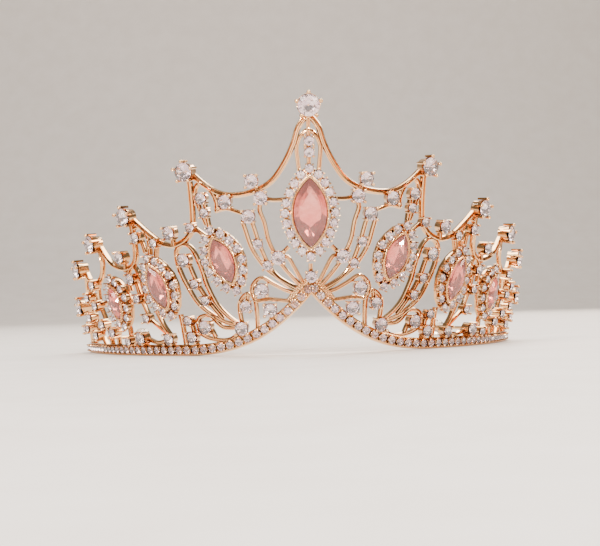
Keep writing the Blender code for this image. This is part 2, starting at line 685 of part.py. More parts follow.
def make_side_wires(champagne, joined):
    count = 14
    span = SIDE_WIRE_END - SIDE_WIRE_START
    for side, word in ((-1, "left"), (1, "right")):
        rings = []
        for k in range(count + 1):
            angle = side * (SIDE_WIRE_START + span * k / count)
            spot = side_wire_point(angle)
            out = level_outwards(angle)
            rings.append([spot + (out * math.cos(turn) + Vector((0, 0, 1)) * math.sin(turn)) * SIDE_WIRE / 2
                          for turn in (math.tau * (i + 0.5) / 6 for i in range(6))])
        solder(f"side_wire_{word}", loft(rings), joined)

        # The bead's axis follows the wire's last stretch, and its bore takes the wire's end
        end = side_wire_point(side * SIDE_WIRE_END)
        ahead = (end - side_wire_point(side * (SIDE_WIRE_END - span / count))).normalized()
        axes = ahead.to_track_quat("Z", "Y").to_matrix().to_4x4()
        radius = BEAD / 2
        bore = SIDE_WIRE / 2 + SEAT_GAP
        mouth = math.sqrt(radius**2 - bore**2)
        middle = end + ahead * (mouth - BEAD_BORE_DEPTH + SEAT_GAP)
        bead = [circle(bore, BEAD_BORE_DEPTH - mouth, BEAD_SIDES), circle(bore, -mouth, BEAD_SIDES)]
        for k, share in enumerate(BEAD_RINGS):
            turn = math.pi * share
            bead.append(circle(radius * math.cos(turn), radius * math.sin(turn), BEAD_SIDES, 0.5 * (k % 2)))
        finish(f"end_bead_{word}", loft(moved(bead, Matrix.Translation(middle) @ axes)), champagne)


def merge_level_faces(shape):
    """Drop the seams that a union leaves inside level faces, and cut what is left into triangles."""
    bmesh.ops.remove_doubles(shape, verts=shape.verts, dist=SEAM_MERGE)
    seams = {edge for edge in shape.edges if edge.calc_face_angle(math.pi) < SEAM_ANGLE}
    inner = [vert for vert in shape.verts if seams.issuperset(vert.link_edges)]
    bmesh.ops.dissolve_limit(shape, angle_limit=SEAM_ANGLE, verts=inner, edges=list(seams))
    bmesh.ops.triangulate(shape, faces=shape.faces)


def make_frame(metal, joined):
    """Join all the soldered pieces on the band while unrolled, then roll the result up."""
    scene = bpy.context.scene
    band = solder("band", band_loop(), joined, False)
    joined.objects.unlink(band)
    scene.collection.objects.link(band)
    union = band.modifiers.new("union", "BOOLEAN")
    union.operation = "UNION"
    union.solver = "EXACT"
    union.operand_type = "COLLECTION"
    union.collection = joined
    shape = bmesh.new()
    shape.from_object(band, bpy.context.evaluated_depsgraph_get())
    for thing in [band] + list(joined.objects):
        bpy.data.objects.remove(thing, do_unlink=True)
    bpy.data.collections.remove(joined)
    merge_level_faces(shape)
    for vert in shape.verts:
        vert.co = rolled(vert.co)
    finish("crown_frame", shape, metal)


def centre_on_origin():
    """Move every piece so that the whole stands with the middle of its length and width over the origin."""
    meshes = [thing.data for thing in bpy.context.scene.objects]
    depths = [vert.co.y for mesh in meshes for vert in mesh.vertices]
    shift = Matrix.Translation((0.0, -(min(depths) + max(depths)) / 2, 0.0))
    for mesh in meshes:
        mesh.transform(shift)


def build():
    clear_scene()
    materials = {name: make_material(name) for name in COLOURS}
    clear = materials["clear_glass"]
    joined = bpy.data.collections.new("soldered_pieces")
    bpy.context.scene.collection.children.link(joined)
    make_wires(joined)
    make_round_stones(clear, joined)
    make_jewels(materials["pink_glass"], clear, joined)
    make_side_wires(materials["champagne_glass"], joined)
    make_frame(materials["rose_gold"], joined)
    centre_on_origin()


build()
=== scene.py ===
# %% [markdown]
# A rose-gold tiara for a wedding or a stage. The real one is cast in zinc alloy in flat pieces, plated, bent
# round a former, and set with foiled glass stones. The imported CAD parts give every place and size, and this
# file puts finer pieces in the same places: ridged wires, claw cups, cut stones, milled rims and beads.

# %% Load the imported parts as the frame
import math

import bmesh
import bpy
from mathutils import Matrix, Vector


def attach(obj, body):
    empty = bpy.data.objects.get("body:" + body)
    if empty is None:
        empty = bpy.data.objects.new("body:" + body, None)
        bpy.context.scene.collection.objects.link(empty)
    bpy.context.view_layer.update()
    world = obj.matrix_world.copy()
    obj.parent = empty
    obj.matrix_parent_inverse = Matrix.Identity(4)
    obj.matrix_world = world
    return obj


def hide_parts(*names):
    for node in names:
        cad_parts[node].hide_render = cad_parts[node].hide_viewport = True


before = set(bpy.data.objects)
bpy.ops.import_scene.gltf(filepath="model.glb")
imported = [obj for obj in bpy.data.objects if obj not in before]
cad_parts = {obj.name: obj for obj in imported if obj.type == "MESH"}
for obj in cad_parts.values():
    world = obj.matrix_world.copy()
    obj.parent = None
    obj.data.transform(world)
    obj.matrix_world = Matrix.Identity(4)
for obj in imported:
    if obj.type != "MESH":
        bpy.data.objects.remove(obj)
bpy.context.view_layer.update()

# %% [markdown]
# The crown is an oval band that leans outwards as it rises. A place on it is an angle from the front and a
# height, and one function turns the two into a point. Sizes are in millimetres until a piece is finished.

# %% The crown's surface
MM = 0.001
HALF_WIDTH = 72.0
HALF_DEPTH = 80.0
OVAL_BACK = 23.79  # the oval's middle behind the middle of the whole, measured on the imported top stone
LEAN = 0.14
CROWN_HEIGHT = 71.8
BAND_ANGLE = 78.0
NOTCH_HEIGHT = 17.5
NOTCH_ANGLE = 32.0
NOTCH_POWER = 2.8
ALONG_SCALE = math.radians(HALF_WIDTH + HALF_DEPTH) / 2  # millimetres along the band in one degree


def base_height(angle):
    """Height of the band's lower edge."""
    rise = max(0.0, 1.0 - abs(angle) / NOTCH_ANGLE)
    return NOTCH_HEIGHT * rise**NOTCH_POWER


def surface(angle, height):
    """The point at an angle in degrees and a height."""
    turn = math.radians(angle)
    spread = 1.0 + LEAN * height / HALF_WIDTH
    return Vector((HALF_WIDTH * spread * math.sin(turn),
                   OVAL_BACK - HALF_DEPTH * spread * math.cos(turn), height))


def level_outwards(angle):
    turn = math.radians(angle)
    return Vector((HALF_DEPTH * math.sin(turn), -HALF_WIDTH * math.cos(turn), 0.0)).normalized()


def seat(angle, height, lift=0.0, lean=0.0):
    """Axes at a place: X along the crown, Y up it, Z outwards, leant clockwise from the front."""
    step = 0.01
    along = (surface(angle + step, height) - surface(angle - step, height)).normalized()
    upward = (surface(angle, height + step) - surface(angle, height - step)).normalized()
    outwards = along.cross(upward).normalized()
    axes = Matrix((along, outwards.cross(along), outwards)).transposed().to_4x4()
    place = surface(angle, height) + outwards * lift
    return Matrix.Translation(place) @ axes @ Matrix.Rotation(-math.radians(lean), 4, "Z")


def place_of(along, up):
    """Angle and height of a place given by its shares of the half band and of the height."""
    angle = along * BAND_ANGLE
    base = base_height(angle)
    return angle, base + up * (CROWN_HEIGHT - base)


def place_under(point):
    """Angle and height of the place behind a point."""
    angle = math.degrees(math.atan2(point.x / HALF_WIDTH, (OVAL_BACK - point.y) / HALF_DEPTH))
    return angle, point.z


print("front of the band at", tuple(round(v, 1) for v in surface(0, NOTCH_HEIGHT)))

# %% [markdown]
# Colours are written as sRGB hex and turned to linear by one function. One small function adds a shader node
# with its settings and links, so that each material below reads as a list of what it is made of.

# %% Helpers for colours and nodes


def linear(code):
    """An sRGB hex colour as linear values with full alpha."""
    found = []
    for i in (0, 2, 4):
        value = int(code[i:i + 2], 16) / 255
        found.append(value / 12.92 if value <= 0.04045 else ((value + 0.055) / 1.055) ** 2.4)
    return (*found, 1.0)


def add_node(tree, kind, settings=(), links=()):
    """Add a node, then set its inputs or properties and join other nodes' outputs to its inputs."""
    node = tree.nodes.new(kind)
    for name, value in dict(settings).items():
        if name in node.inputs:
            node.inputs[name].default_value = value
        else:
            setattr(node, name, value)
    for name, source in dict(links).items():
        tree.links.new(source, node.inputs[name])
    return node


def colour_ramp(tree, factor, low, high, start=0.3, end=0.7):
    ramp = add_node(tree, "ShaderNodeValToRGB", links={"Fac": factor})
    ramp.color_ramp.elements[0].position = start
    ramp.color_ramp.elements[1].position = end
    ramp.color_ramp.elements[0].color = linear(low)
    ramp.color_ramp.elements[1].color = linear(high)
    return ramp.outputs["Color"]


def per_metre(size_mm):
    """The scale that gives a noise pattern features of about this size, on coordinates in metres."""
    return 1.0 / (size_mm * MM)


def start_material(name):
    material = bpy.data.materials.new(name)
    material.use_nodes = True
    tree = material.node_tree
    where = add_node(tree, "ShaderNodeTexCoord").outputs["Object"]
    return material, tree, tree.nodes["Principled BSDF"], where


print("helpers ready")

# %% [markdown]
# Rose-gold plating on cast zinc alloy. The casting is tumbled, so it is smooth but a little wavy. In the
# corners and crevices a painted shade mixes in a darker orange gold, by an ambient occlusion mask. The waves
# are drawn at 0.5 mm, and the patches of colour at 7 mm.

# %% Rose-gold plating
PLATING_PATCH = 7.0
CASTING_WAVE = 0.5
PAINTED_SHADE_REACH = 1.2
WAVE_HEIGHT = 0.04
MIX_FACTOR, MIX_PAINTED_SHADE, MIX_OPEN, MIX_RESULT = 0, 6, 7, 2  # the mix node's sockets for colours


def make_plating():
    material, tree, shader, where = start_material("rose_gold_plated_zinc_casting")
    patches = add_node(tree, "ShaderNodeTexNoise", {"Scale": per_metre(PLATING_PATCH), "Detail": 2.0},
                       {"Vector": where})
    open_colour = colour_ramp(tree, patches.outputs["Fac"], "E6AE74", "F6CD9B")
    # painted shade: an ambient occlusion mask darkens corners and crevices towards a deep orange gold
    corners = add_node(tree, "ShaderNodeAmbientOcclusion", {"Distance": PAINTED_SHADE_REACH * MM, "samples": 8})
    mixed = add_node(tree, "ShaderNodeMix", {"data_type": "RGBA"})
    tree.links.new(corners.outputs["AO"], mixed.inputs[MIX_FACTOR])
    # the painted shade's colour, for the corners and crevices
    mixed.inputs[MIX_PAINTED_SHADE].default_value = linear("AD6A34")
    tree.links.new(open_colour, mixed.inputs[MIX_OPEN])
    tree.links.new(mixed.outputs[MIX_RESULT], shader.inputs["Base Color"])
    waves = add_node(tree, "ShaderNodeTexNoise", {"Scale": per_metre(CASTING_WAVE), "Detail": 3.0},
                     {"Vector": where})
    dullness = add_node(tree, "ShaderNodeMapRange", {"To Min": 0.08, "To Max": 0.2},
                        {"Value": waves.outputs["Fac"]})
    tree.links.new(dullness.outputs["Result"], shader.inputs["Roughness"])
    bump = add_node(tree, "ShaderNodeBump", {"Strength": 0.12, "Distance": WAVE_HEIGHT * MM},
                    {"Height": waves.outputs["Fac"]})
    tree.links.new(bump.outputs["Normal"], shader.inputs["Normal"])
    shader.inputs["Metallic"].default_value = 1.0
    return material


PLATING = make_plating()
print("made", PLATING.name)

# %% [markdown]
# The stones are pressed glass with a foil on the back, as rhinestones are. The front is clear glass, and the
# foil, a thin mirror of silver or rose, throws the light back through it. So each stone is one closed mesh
# with two finishes: glass on its crown and foil on its pavilion. Glass colour wanders a little from stone to
# stone, at 5 mm, and the foil is mottled at 1.2 mm.

# %% Foiled glass
GLASS_IOR = 1.56
STONE_TO_STONE = 5.0
FOIL_MOTTLE = 1.2


def make_glass(name, low, high, transmission=1.0):
    material, tree, shader, where = start_material(name)
    drift = add_node(tree, "ShaderNodeTexNoise", {"Scale": per_metre(STONE_TO_STONE)}, {"Vector": where})
    tree.links.new(colour_ramp(tree, drift.outputs["Fac"], low, high), shader.inputs["Base Color"])
    shader.inputs["Transmission Weight"].default_value = transmission
    shader.inputs["IOR"].default_value = GLASS_IOR
    shader.inputs["Roughness"].default_value = 0.015
    return material


def make_foil(name, low, high):
    material, tree, shader, where = start_material(name)
    mottle = add_node(tree, "ShaderNodeTexNoise", {"Scale": per_metre(FOIL_MOTTLE)}, {"Vector": where})
    tree.links.new(colour_ramp(tree, mottle.outputs["Fac"], low, high), shader.inputs["Base Color"])
    dullness = add_node(tree, "ShaderNodeMapRange", {"To Min": 0.02, "To Max": 0.09},
                        {"Value": mottle.outputs["Fac"]})
    tree.links.new(dullness.outputs["Result"], shader.inputs["Roughness"])
    shader.inputs["Metallic"].default_value = 1.0
    return material


CLEAR = (make_glass("pressed_clear_glass", "F4EAEC", "FFFFFF", 0.94),
         make_foil("silver_foil", "DCCBD4", "FFF8F6"))
PINK = (make_glass("pressed_salmon_glass", "F29C96", "FBBDB2", 0.86),
        make_foil("rose_foil", "F0B4AC", "FCD9CC"))
CHAMPAGNE = (make_glass("cut_champagne_glass", "F2DFCB", "FBF1E4"),)
print("made", [material.name for material in CLEAR + PINK + CHAMPAGNE])

# %% [markdown]
# Every piece ends the same way. Its faces are turned outwards, it goes from millimetres to metres, it gets
# its finish, and it rides on the crown's one body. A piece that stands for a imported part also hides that.

# %% Finish, collect and stamp
SHARP_EDGE = 38.0


def soften(shape, angle=SHARP_EDGE):
    """Shade the faces smooth, but keep the edges that turn more than an angle sharp."""
    for face in shape.faces:
        face.smooth = True
    for edge in shape.edges:
        edge.smooth = edge.calc_face_angle(0.0) < math.radians(angle)


def pattern_of(shape, name, outwards=True):
    """Keep a shape as a mesh, to be stamped many times."""
    if outwards:
        bmesh.ops.recalc_face_normals(shape, faces=shape.faces)
    mesh = bpy.data.meshes.new("pattern_" + name)
    shape.to_mesh(mesh)
    shape.free()
    return mesh


def stamp(target, pattern, matrix):
    """Add a copy of a kept mesh at a place."""
    start = len(target.verts)
    target.from_mesh(pattern)
    target.verts.ensure_lookup_table()
    bmesh.ops.transform(target, matrix=matrix, verts=target.verts[start:])


def collect(target, shape):
    """Add a finished shape to a bigger one."""
    mesh = pattern_of(shape, "once")
    stamp(target, mesh, Matrix.Identity(4))
    bpy.data.meshes.remove(mesh)


def finish_piece(name, shape, materials, replaced=()):
    bmesh.ops.scale(shape, vec=(MM, MM, MM), verts=shape.verts)
    mesh = bpy.data.meshes.new(name)
    shape.to_mesh(mesh)
    shape.free()
    for material in materials:
        mesh.materials.append(material)
    piece = bpy.data.objects.new(name, mesh)
    bpy.context.scene.collection.objects.link(piece)
    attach(piece, "root")
    if replaced:
        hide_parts(*replaced)
    print(f"{name}: {sum(len(face.vertices) - 2 for face in mesh.polygons)} triangles")
    return piece


# %% [markdown]
# A wire is an outline carried along a route. The outline becomes a face, and each step extrudes that face and
# moves it to the next station, so the wire is closed at both ends. The route is smoothed through its points.

# %% Routes, stations and sweeps
WIRE_STEP = 1.1


def smooth_route(points, step=WIRE_STEP):
    """Angles and heights at even steps along a smooth curve through the given ones."""
    spots = [Vector((angle * ALONG_SCALE, height)) for angle, height in points]
    ends = [spots[0]] + spots + [spots[-1]]
    found = []
    for a, b, c, d in zip(ends, ends[1:], ends[2:], ends[3:]):
        count = max(1, round((c - b).length / step))
        for k in range(count):
            t = k / count
            found.append(0.5 * (2 * b + (c - a) * t + (2 * a - 5 * b + 4 * c - d) * t**2
                                + (3 * b - a - 3 * c + d) * t**3))
    found.append(spots[-1])
    return [(spot.x / ALONG_SCALE, spot.y) for spot in found]


def stations(route, closed=False, lift=0.0):
    """Axes along a route on the crown: X across the wire, Y along it and Z outwards."""
    spots = [surface(angle, height) + level_outwards(angle) * lift for angle, height in route]
    count = len(spots)
    found = []
    for i, (angle, _) in enumerate(route):
        before = spots[i - 1] if closed or i else spots[i]
        after = spots[(i + 1) % count] if closed or i < count - 1 else spots[i]
        ahead = (after - before).normalized()
        outwards = level_outwards(angle)
        across = ahead.cross(outwards).normalized()
        found.append(Matrix.Translation(spots[i]) @ Matrix((across, ahead, outwards)).transposed().to_4x4())
    return found


def extrude_on(shape, face, keep=False):
    """Extrude a face and return the new one; the old one goes, unless it closes the shape's start."""
    made = bmesh.ops.extrude_face_region(shape, geom=[face])["geom"]
    new = next(item for item in made if isinstance(item, bmesh.types.BMFace))
    if not keep and face.is_valid:
        bmesh.ops.delete(shape, geom=[face], context="FACES_ONLY")
    return new


def sweep(outline, places, closed=False):
    """Carry an outline, given across and outwards, through the stations."""
    shape = bmesh.new()
    face = shape.faces.new([shape.verts.new(places[0] @ Vector((x, 0.0, z))) for x, z in outline])
    route = places + places[:1] if closed else places
    for i, (before, after) in enumerate(zip(route, route[1:])):
        face = extrude_on(shape, face, keep=i == 0 and not closed)
        bmesh.ops.transform(shape, matrix=after @ before.inverted(), verts=face.verts)
    if closed:
        bmesh.ops.delete(shape, geom=[face], context="FACES_ONLY")
        bmesh.ops.remove_doubles(shape, verts=shape.verts, dist=0.001)
    soften(shape)
    return shape


# %% [markdown]
# The edge wires are ribbons with two polished ridges and a groove between them, 1.7 mm wide. The ribs inside
# the crown are the same at 1.3 mm. Seen from a metre away the ridges read as two bright lines.

# %% Wire outlines and routes
EDGE_WIDTH = 1.7
RIB_WIDTH = 1.3
WIRE_DEPTH = 1.3
RIDGE = ((-0.5, 0.0), (0.5, 0.0), (0.5, 0.62), (0.38, 0.95), (0.24, 0.98), (0.1, 0.62), (-0.1, 0.62),
         (-0.24, 0.98), (-0.38, 0.95), (-0.5, 0.62))

# Names of stones stand for their places
STONES = (
    # name, along, up, size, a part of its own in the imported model
    ("tip_stone_1", 0.332, 0.762, "tip", True),
    ("tip_stone_2", 0.553, 0.600, "tip", True),
    ("tip_stone_3", 0.738, 0.500, "tip", True),
    ("tip_stone_4", 0.890, 0.392, "tip", True),
    ("tip_stone_5", 0.938, 0.222, "tip", True),
    ("shoulder_top_stone", 0.151, 0.688, "large", True),
    ("shoulder_stone", 0.129, 0.608, "large", True),
    ("loop_stone", 0.164, 0.542, "large", True),
    ("bridge_stone", 0.226, 0.622, "large", True),
    ("edge_top_stone_1", 0.400, 0.518, "large", True),
    ("edge_top_stone_2", 0.598, 0.430, "large", True),
    ("paisley_stone", 0.361, 0.403, "large", True),
    ("fan_stone", 0.138, 0.210, "large", True),
    ("flower_stone", 0.116, 0.103, "large", True),
    ("gate_stone", 0.186, 0.168, "medium", True),
    ("root_stone", 0.201, 0.083, "large", True),
    ("arch_stone", 0.293, 0.648, "medium", False),
    ("corner_stone", 0.333, 0.533, "small", False),
    ("leaf_plate", 0.088, 0.315, "large", False),
    ("leaf_stone", 0.311, 0.120, "large", False),
    ("sprig_stone", 0.368, 0.150, "small", False),
    ("bud_stone", 0.358, 0.081, "medium", False),
    ("second_root_stone", 0.440, 0.076, "medium", False),
    ("arch_stone_2", 0.523, 0.508, "medium", False),
    ("drop_stone", 0.565, 0.335, "medium", False),
    ("fan_tip_stone", 0.549, 0.250, "small", False),
    ("third_root_stone", 0.551, 0.080, "large", False),
    ("fifth_root_stone", 0.694, 0.105, "medium", False),
    ("end_top_stone", 0.785, 0.318, "medium", False),
    ("end_side_stone", 0.848, 0.262, "medium", False),
    ("end_mid_stone", 0.787, 0.225, "medium", False),
    ("end_low_stone", 0.757, 0.140, "medium", False),
    ("end_root_stone", 0.818, 0.090, "medium", False),
    ("end_bud_stone", 0.857, 0.172, "medium", False),
)
PLACES = {row[0]: place_of(row[1], row[2]) for row in STONES}
print(len(STONES), "places on each side")

# %% Routes of the wires, by stone or by place
CROSSING_WIRES = (
    # width, points from the middle outwards, mirrored on the other side
    (EDGE_WIDTH, ((0.0, 0.942), (0.026, 0.893), (0.041, 0.814), (0.066, 0.732), (0.104, 0.664),
                  (0.160, 0.640), (0.226, 0.648), (0.280, 0.690), "tip_stone_1")),
    (RIB_WIDTH, ((0.0, 0.872), (0.020, 0.848), (0.031, 0.800), (0.030, 0.745), (0.026, 0.672))),
)
MIDDLE_WIRES = ((0.960, 0.690), (0.165, 0.020))
EDGE_WIRES = (
    ("tip_stone_1", (0.330, 0.663), (0.331, 0.576), (0.337, 0.523), (0.362, 0.483), (0.405, 0.463),
     (0.451, 0.484), (0.500, 0.535), "tip_stone_2"),
    ("tip_stone_2", (0.548, 0.482), (0.552, 0.417), (0.578, 0.383), (0.629, 0.383), (0.684, 0.418),
     "tip_stone_3"),
    ("tip_stone_3", (0.728, 0.410), (0.745, 0.355), (0.785, 0.325), (0.842, 0.330), "tip_stone_4"),
    ("tip_stone_4", (0.902, 0.310), (0.912, 0.250), "tip_stone_5", (0.960, 0.130), (0.972, 0.030)),
)
RIBS = (
    # Loops under the points and the bars between them
    ((0.258, 0.586), (0.256, 0.620), (0.270, 0.672), (0.302, 0.708), (0.318, 0.670), (0.306, 0.600),
     (0.290, 0.535)),
    ((0.490, 0.430), (0.490, 0.500), (0.512, 0.548), (0.545, 0.545)),
    ("loop_stone", (0.200, 0.572), (0.230, 0.592), (0.262, 0.588)),
    ("bridge_stone", (0.230, 0.655)),
    ("shoulder_stone", (0.100, 0.582), (0.062, 0.562)),
    ("shoulder_top_stone", "shoulder_stone"),
    ("edge_top_stone_1", (0.402, 0.462)),
    ("edge_top_stone_2", (0.604, 0.362)),
    ("corner_stone", (0.296, 0.490)),
    ("arch_stone", (0.288, 0.588), (0.283, 0.515)),
    ((0.459, 0.480), (0.470, 0.415)),
    ((0.552, 0.500), "arch_stone_2", (0.507, 0.440)),
    # The fan that spreads from the front of the band
    ("leaf_plate", (0.064, 0.290), (0.041, 0.195), (0.014, 0.060)),
    ("leaf_plate", (0.060, 0.335)),
    ("shoulder_stone", (0.137, 0.560), (0.125, 0.493), (0.116, 0.411), (0.098, 0.333), (0.070, 0.235),
     (0.018, 0.060)),
    ("loop_stone", (0.152, 0.470), (0.141, 0.405), (0.119, 0.305), (0.088, 0.215), (0.020, 0.055)),
    ("loop_stone", (0.184, 0.530), (0.178, 0.480), (0.162, 0.395), (0.129, 0.300), (0.096, 0.228),
     (0.060, 0.145), (0.022, 0.050)),
    ((0.024, 0.045), (0.068, 0.133), (0.106, 0.205), (0.142, 0.262), (0.170, 0.235), (0.160, 0.175),
     (0.120, 0.150), (0.060, 0.075), (0.026, 0.040)),
    ("fan_stone", (0.170, 0.228)),
    ("flower_stone", (0.120, 0.020)),
    ((0.160, 0.020), (0.159, 0.110), (0.163, 0.180), (0.184, 0.218), (0.208, 0.190), (0.208, 0.130),
     "root_stone"),
    ("gate_stone", (0.184, 0.218)),
    ("root_stone", (0.206, 0.015)),
    # The paisley between the second and third points, with its stem and leaf
    ("root_stone", (0.246, 0.146), (0.279, 0.207), (0.304, 0.286), (0.316, 0.350), (0.338, 0.435),
     (0.366, 0.466), (0.394, 0.440), (0.391, 0.370), (0.366, 0.285), (0.338, 0.219), (0.306, 0.176),
     (0.262, 0.130), "root_stone"),
    ("paisley_stone", (0.335, 0.301), (0.306, 0.228), (0.262, 0.140)),
    ("root_stone", (0.262, 0.105), (0.300, 0.160), (0.340, 0.155), (0.338, 0.095), (0.296, 0.062),
     (0.240, 0.050), "root_stone"),
    ("sprig_stone", "bud_stone", (0.352, 0.015)),
    ("sprig_stone", "leaf_stone", (0.290, 0.068)),
    ((0.392, 0.015), (0.396, 0.100), (0.402, 0.175)),
    # The second fan, the drop's loop and the small roots on the band
    ("second_root_stone", (0.440, 0.015)),
    ("second_root_stone", (0.468, 0.130), (0.488, 0.190)),
    ("second_root_stone", (0.490, 0.128), (0.520, 0.165), "fan_tip_stone"),
    ("second_root_stone", (0.500, 0.056), "third_root_stone"),
    ("third_root_stone", (0.551, 0.015)),
    ((0.530, 0.235), (0.533, 0.300), (0.548, 0.360), (0.570, 0.388), (0.596, 0.345), (0.590, 0.280)),
    ("drop_stone", "fan_tip_stone"),
    ((0.616, 0.015), (0.622, 0.125)),
    ("fifth_root_stone", (0.694, 0.015)),
    ("fifth_root_stone", (0.676, 0.150)),
    # The end loops, between the fourth point and the band's end
    ((0.735, 0.015), "end_low_stone", "end_mid_stone", "end_top_stone"),
    ((0.770, 0.015), "end_root_stone", "end_bud_stone", "end_side_stone", (0.860, 0.330)),
    ("end_mid_stone", (0.815, 0.270), "end_side_stone"),
    ("end_low_stone", (0.790, 0.115), "end_root_stone"),
    ("end_bud_stone", (0.906, 0.130), (0.930, 0.020)),
    ("end_mid_stone", (0.735, 0.235), (0.700, 0.240)),
)


def route_of(points, side=1):
    found = [PLACES[point] if isinstance(point, str) else place_of(*point) for point in points]
    return [(side * angle, height) for angle, height in found]


def wire(points, width, closed=False):
    """A double-ridged wire through angles and heights."""
    outline = [(x * width, z * WIRE_DEPTH) for x, z in RIDGE]
    return sweep(outline, stations(points if closed else smooth_route(points), closed), closed)


edges = bmesh.new()
ribs = bmesh.new()
for width, points in CROSSING_WIRES:
    half = route_of(points)
    whole = [(-angle, height) for angle, height in reversed(half[1:])] + half
    collect(edges if width == EDGE_WIDTH else ribs, wire(whole, width))
for heights in MIDDLE_WIRES:
    collect(ribs, wire([place_of(0.0, up) for up in heights], RIB_WIDTH))
for side in (-1, 1):
    for points in EDGE_WIRES:
        collect(edges, wire(route_of(points, side), EDGE_WIDTH))
    for points in RIBS:
        collect(ribs, wire(route_of(points, side), RIB_WIDTH))
finish_piece("edge_wires", edges, [PLATING], ["crown_frame"])
finish_piece("inner_ribs", ribs, [PLATING], ["crown_frame"])

# %% [markdown]
# The band is a flat strip with a plain rim along its lower edge and a channel above it for one row of stones.
# It rises to a point at the front, so its stations aren't square to its run: each keeps the outline upright
# and stretches it, as the slope needs, so that both halves meet in a clean mitre.

# %% The band
BAND_WIDTH = 3.4
BAND_DEPTH = 2.1
RIM_HEIGHT = 0.6
CHANNEL_DEPTH = 1.25
BAND_OUTLINE = ((0.0, 0.0), (0.0, BAND_DEPTH - 0.2), (0.12, BAND_DEPTH), (RIM_HEIGHT - 0.12, BAND_DEPTH),
                (RIM_HEIGHT, BAND_DEPTH - 0.2), (RIM_HEIGHT, CHANNEL_DEPTH),
                (BAND_WIDTH - 0.3, CHANNEL_DEPTH), (BAND_WIDTH - 0.25, 1.6), (BAND_WIDTH, 1.5),
                (BAND_WIDTH, 0.0))
BAND_STATIONS = 90


def band_slope(angle):
    low = base_height(abs(angle))
    return (base_height(abs(angle) + 0.5) - low) / (ALONG_SCALE * 0.5)


def band_station(angle):
    """Axes on the band: X up it, stretched on a slope, and Z outwards."""
    low = base_height(angle)
    upward = (surface(angle, low + 1.0) - surface(angle, low)) * math.hypot(1.0, band_slope(angle))
    ahead = (surface(angle + 0.01, low) - surface(angle, low)).normalized()
    axes = Matrix((upward, ahead, level_outwards(angle))).transposed().to_4x4()
    return Matrix.Translation(surface(angle, low)) @ axes


band_angles = [BAND_ANGLE * (2 * k / BAND_STATIONS - 1) for k in range(BAND_STATIONS + 1)]
band = sweep(BAND_OUTLINE, [band_station(angle) for angle in band_angles])
finish_piece("band_strip", band, [PLATING], ["crown_frame"])

# %% [markdown]
# A round stone is a brilliant: a table, a crown of star, kite and girdle facets, and a pointed pavilion with
# the foil. All its corners lie on a few circles and the shape is convex, so the convex hull of the circles
# cuts the facets. Stones of the halos and the band have a plain crown of eight facets round the table, since
# more wouldn't show.

# %% Round stones
TOP_STONE = 6.5
SIZES = {"tip": 5.5, "large": 4.0, "medium": 3.4, "small": 2.8}
HALO_STONE = 2.6
BAND_STONE = 2.45
PAVILION_SHARE = 0.4  # depth under the girdle, of the diameter
BRILLIANT = (
    # radius and height by the stone's diameter, corners, turn in parts of one corner
    (0.275, 0.170, 8, 0.0), (0.390, 0.106, 8, 0.5), (0.5, 0.012, 16, 0.0), (0.5, -0.012, 16, 0.0),
    (0.155, -0.288, 8, 0.5), (0.012, -0.4, 8, 0.0),
)
SINGLE_CUT = ((0.275, 0.170, 8, 0.5), (0.5, 0.0, 8, 0.0), (0.02, -0.4, 8, 0.0))


def cut_stone(name, circles, scale):
    """The hull of some circles, with glass above the girdle and foil below."""
    shape = bmesh.new()
    for radius, height, corners, turn in circles:
        spin = Matrix.Rotation(math.tau * turn / corners, 4, "Z")
        bmesh.ops.create_circle(shape, segments=corners, radius=radius * scale,
                                matrix=Matrix.Translation((0.0, 0.0, height * scale)) @ spin)
    return facet(name, shape)


def facet(name, shape, foil_below=-0.05):
    """Turn loose corners into a cut stone."""
    hull = bmesh.ops.convex_hull(shape, input=shape.verts)
    loose = {item for key in ("geom_interior", "geom_unused", "geom_holes") for item in hull[key]}
    bmesh.ops.delete(shape, geom=[item for item in loose if isinstance(item, bmesh.types.BMVert)],
                     context="VERTS")
    bmesh.ops.dissolve_limit(shape, angle_limit=math.radians(0.5), verts=shape.verts, edges=shape.edges)
    for face in shape.faces:
        face.material_index = int(face.calc_center_median().z < foil_below)
    return pattern_of(shape, name)


STONE_PATTERNS = {size: cut_stone(size, BRILLIANT, diameter) for size, diameter in SIZES.items()}
STONE_PATTERNS["top"] = cut_stone("top", BRILLIANT, TOP_STONE)
STONE_PATTERNS["halo"] = cut_stone("halo", SINGLE_CUT, HALO_STONE)
STONE_PATTERNS["band"] = cut_stone("band", SINGLE_CUT, BAND_STONE)
print({name: len(mesh.polygons) for name, mesh in STONE_PATTERNS.items()}, "facets")

# %% [markdown]
# Each stone sits in a claw cup. The cup is a cone with a scalloped rim and a pocket, and the claws stand on
# its outside and close over the girdle with a small bright bead. The disc of the foot is extruded twice to
# make the wall, then inwards for the rim and down for the pocket, and the rim is waved by its angle.

# %% Claw cups
CUP_WALL = 0.45
SEAT_GAP = 0.2
CUP_FOOT = 0.12
CUP_FLOOR = 0.15
CUP_BACK_SHARE = 0.78
RIM_SHOW = 0.12  # the cup's rim beyond the stone's edge
RIM_DEPTH = 0.6  # the rim under the girdle
WAIST_RADIUS = 0.84  # the cup's waist, of the rim's radius and of the depth
WAIST_DEPTH = 0.62
POCKET_RADIUS = 0.3  # the pocket's floor, of the stone's radius and of its pavilion
POCKET_DEPTH = 0.95
CLAW_OUT = 0.38
CLAW_RISE = 0.55
CLAW_FOOT = 0.75  # where a claw starts, of the depth
CLAW_TAPER = 0.8  # a claw's foot, of its thickness
CLAW_LEAN = 0.06  # radians


def cup_depth(diameter):
    """Height of a stone's girdle above the crown's surface."""
    return PAVILION_SHARE * diameter + SEAT_GAP + CUP_FLOOR + WIRE_DEPTH


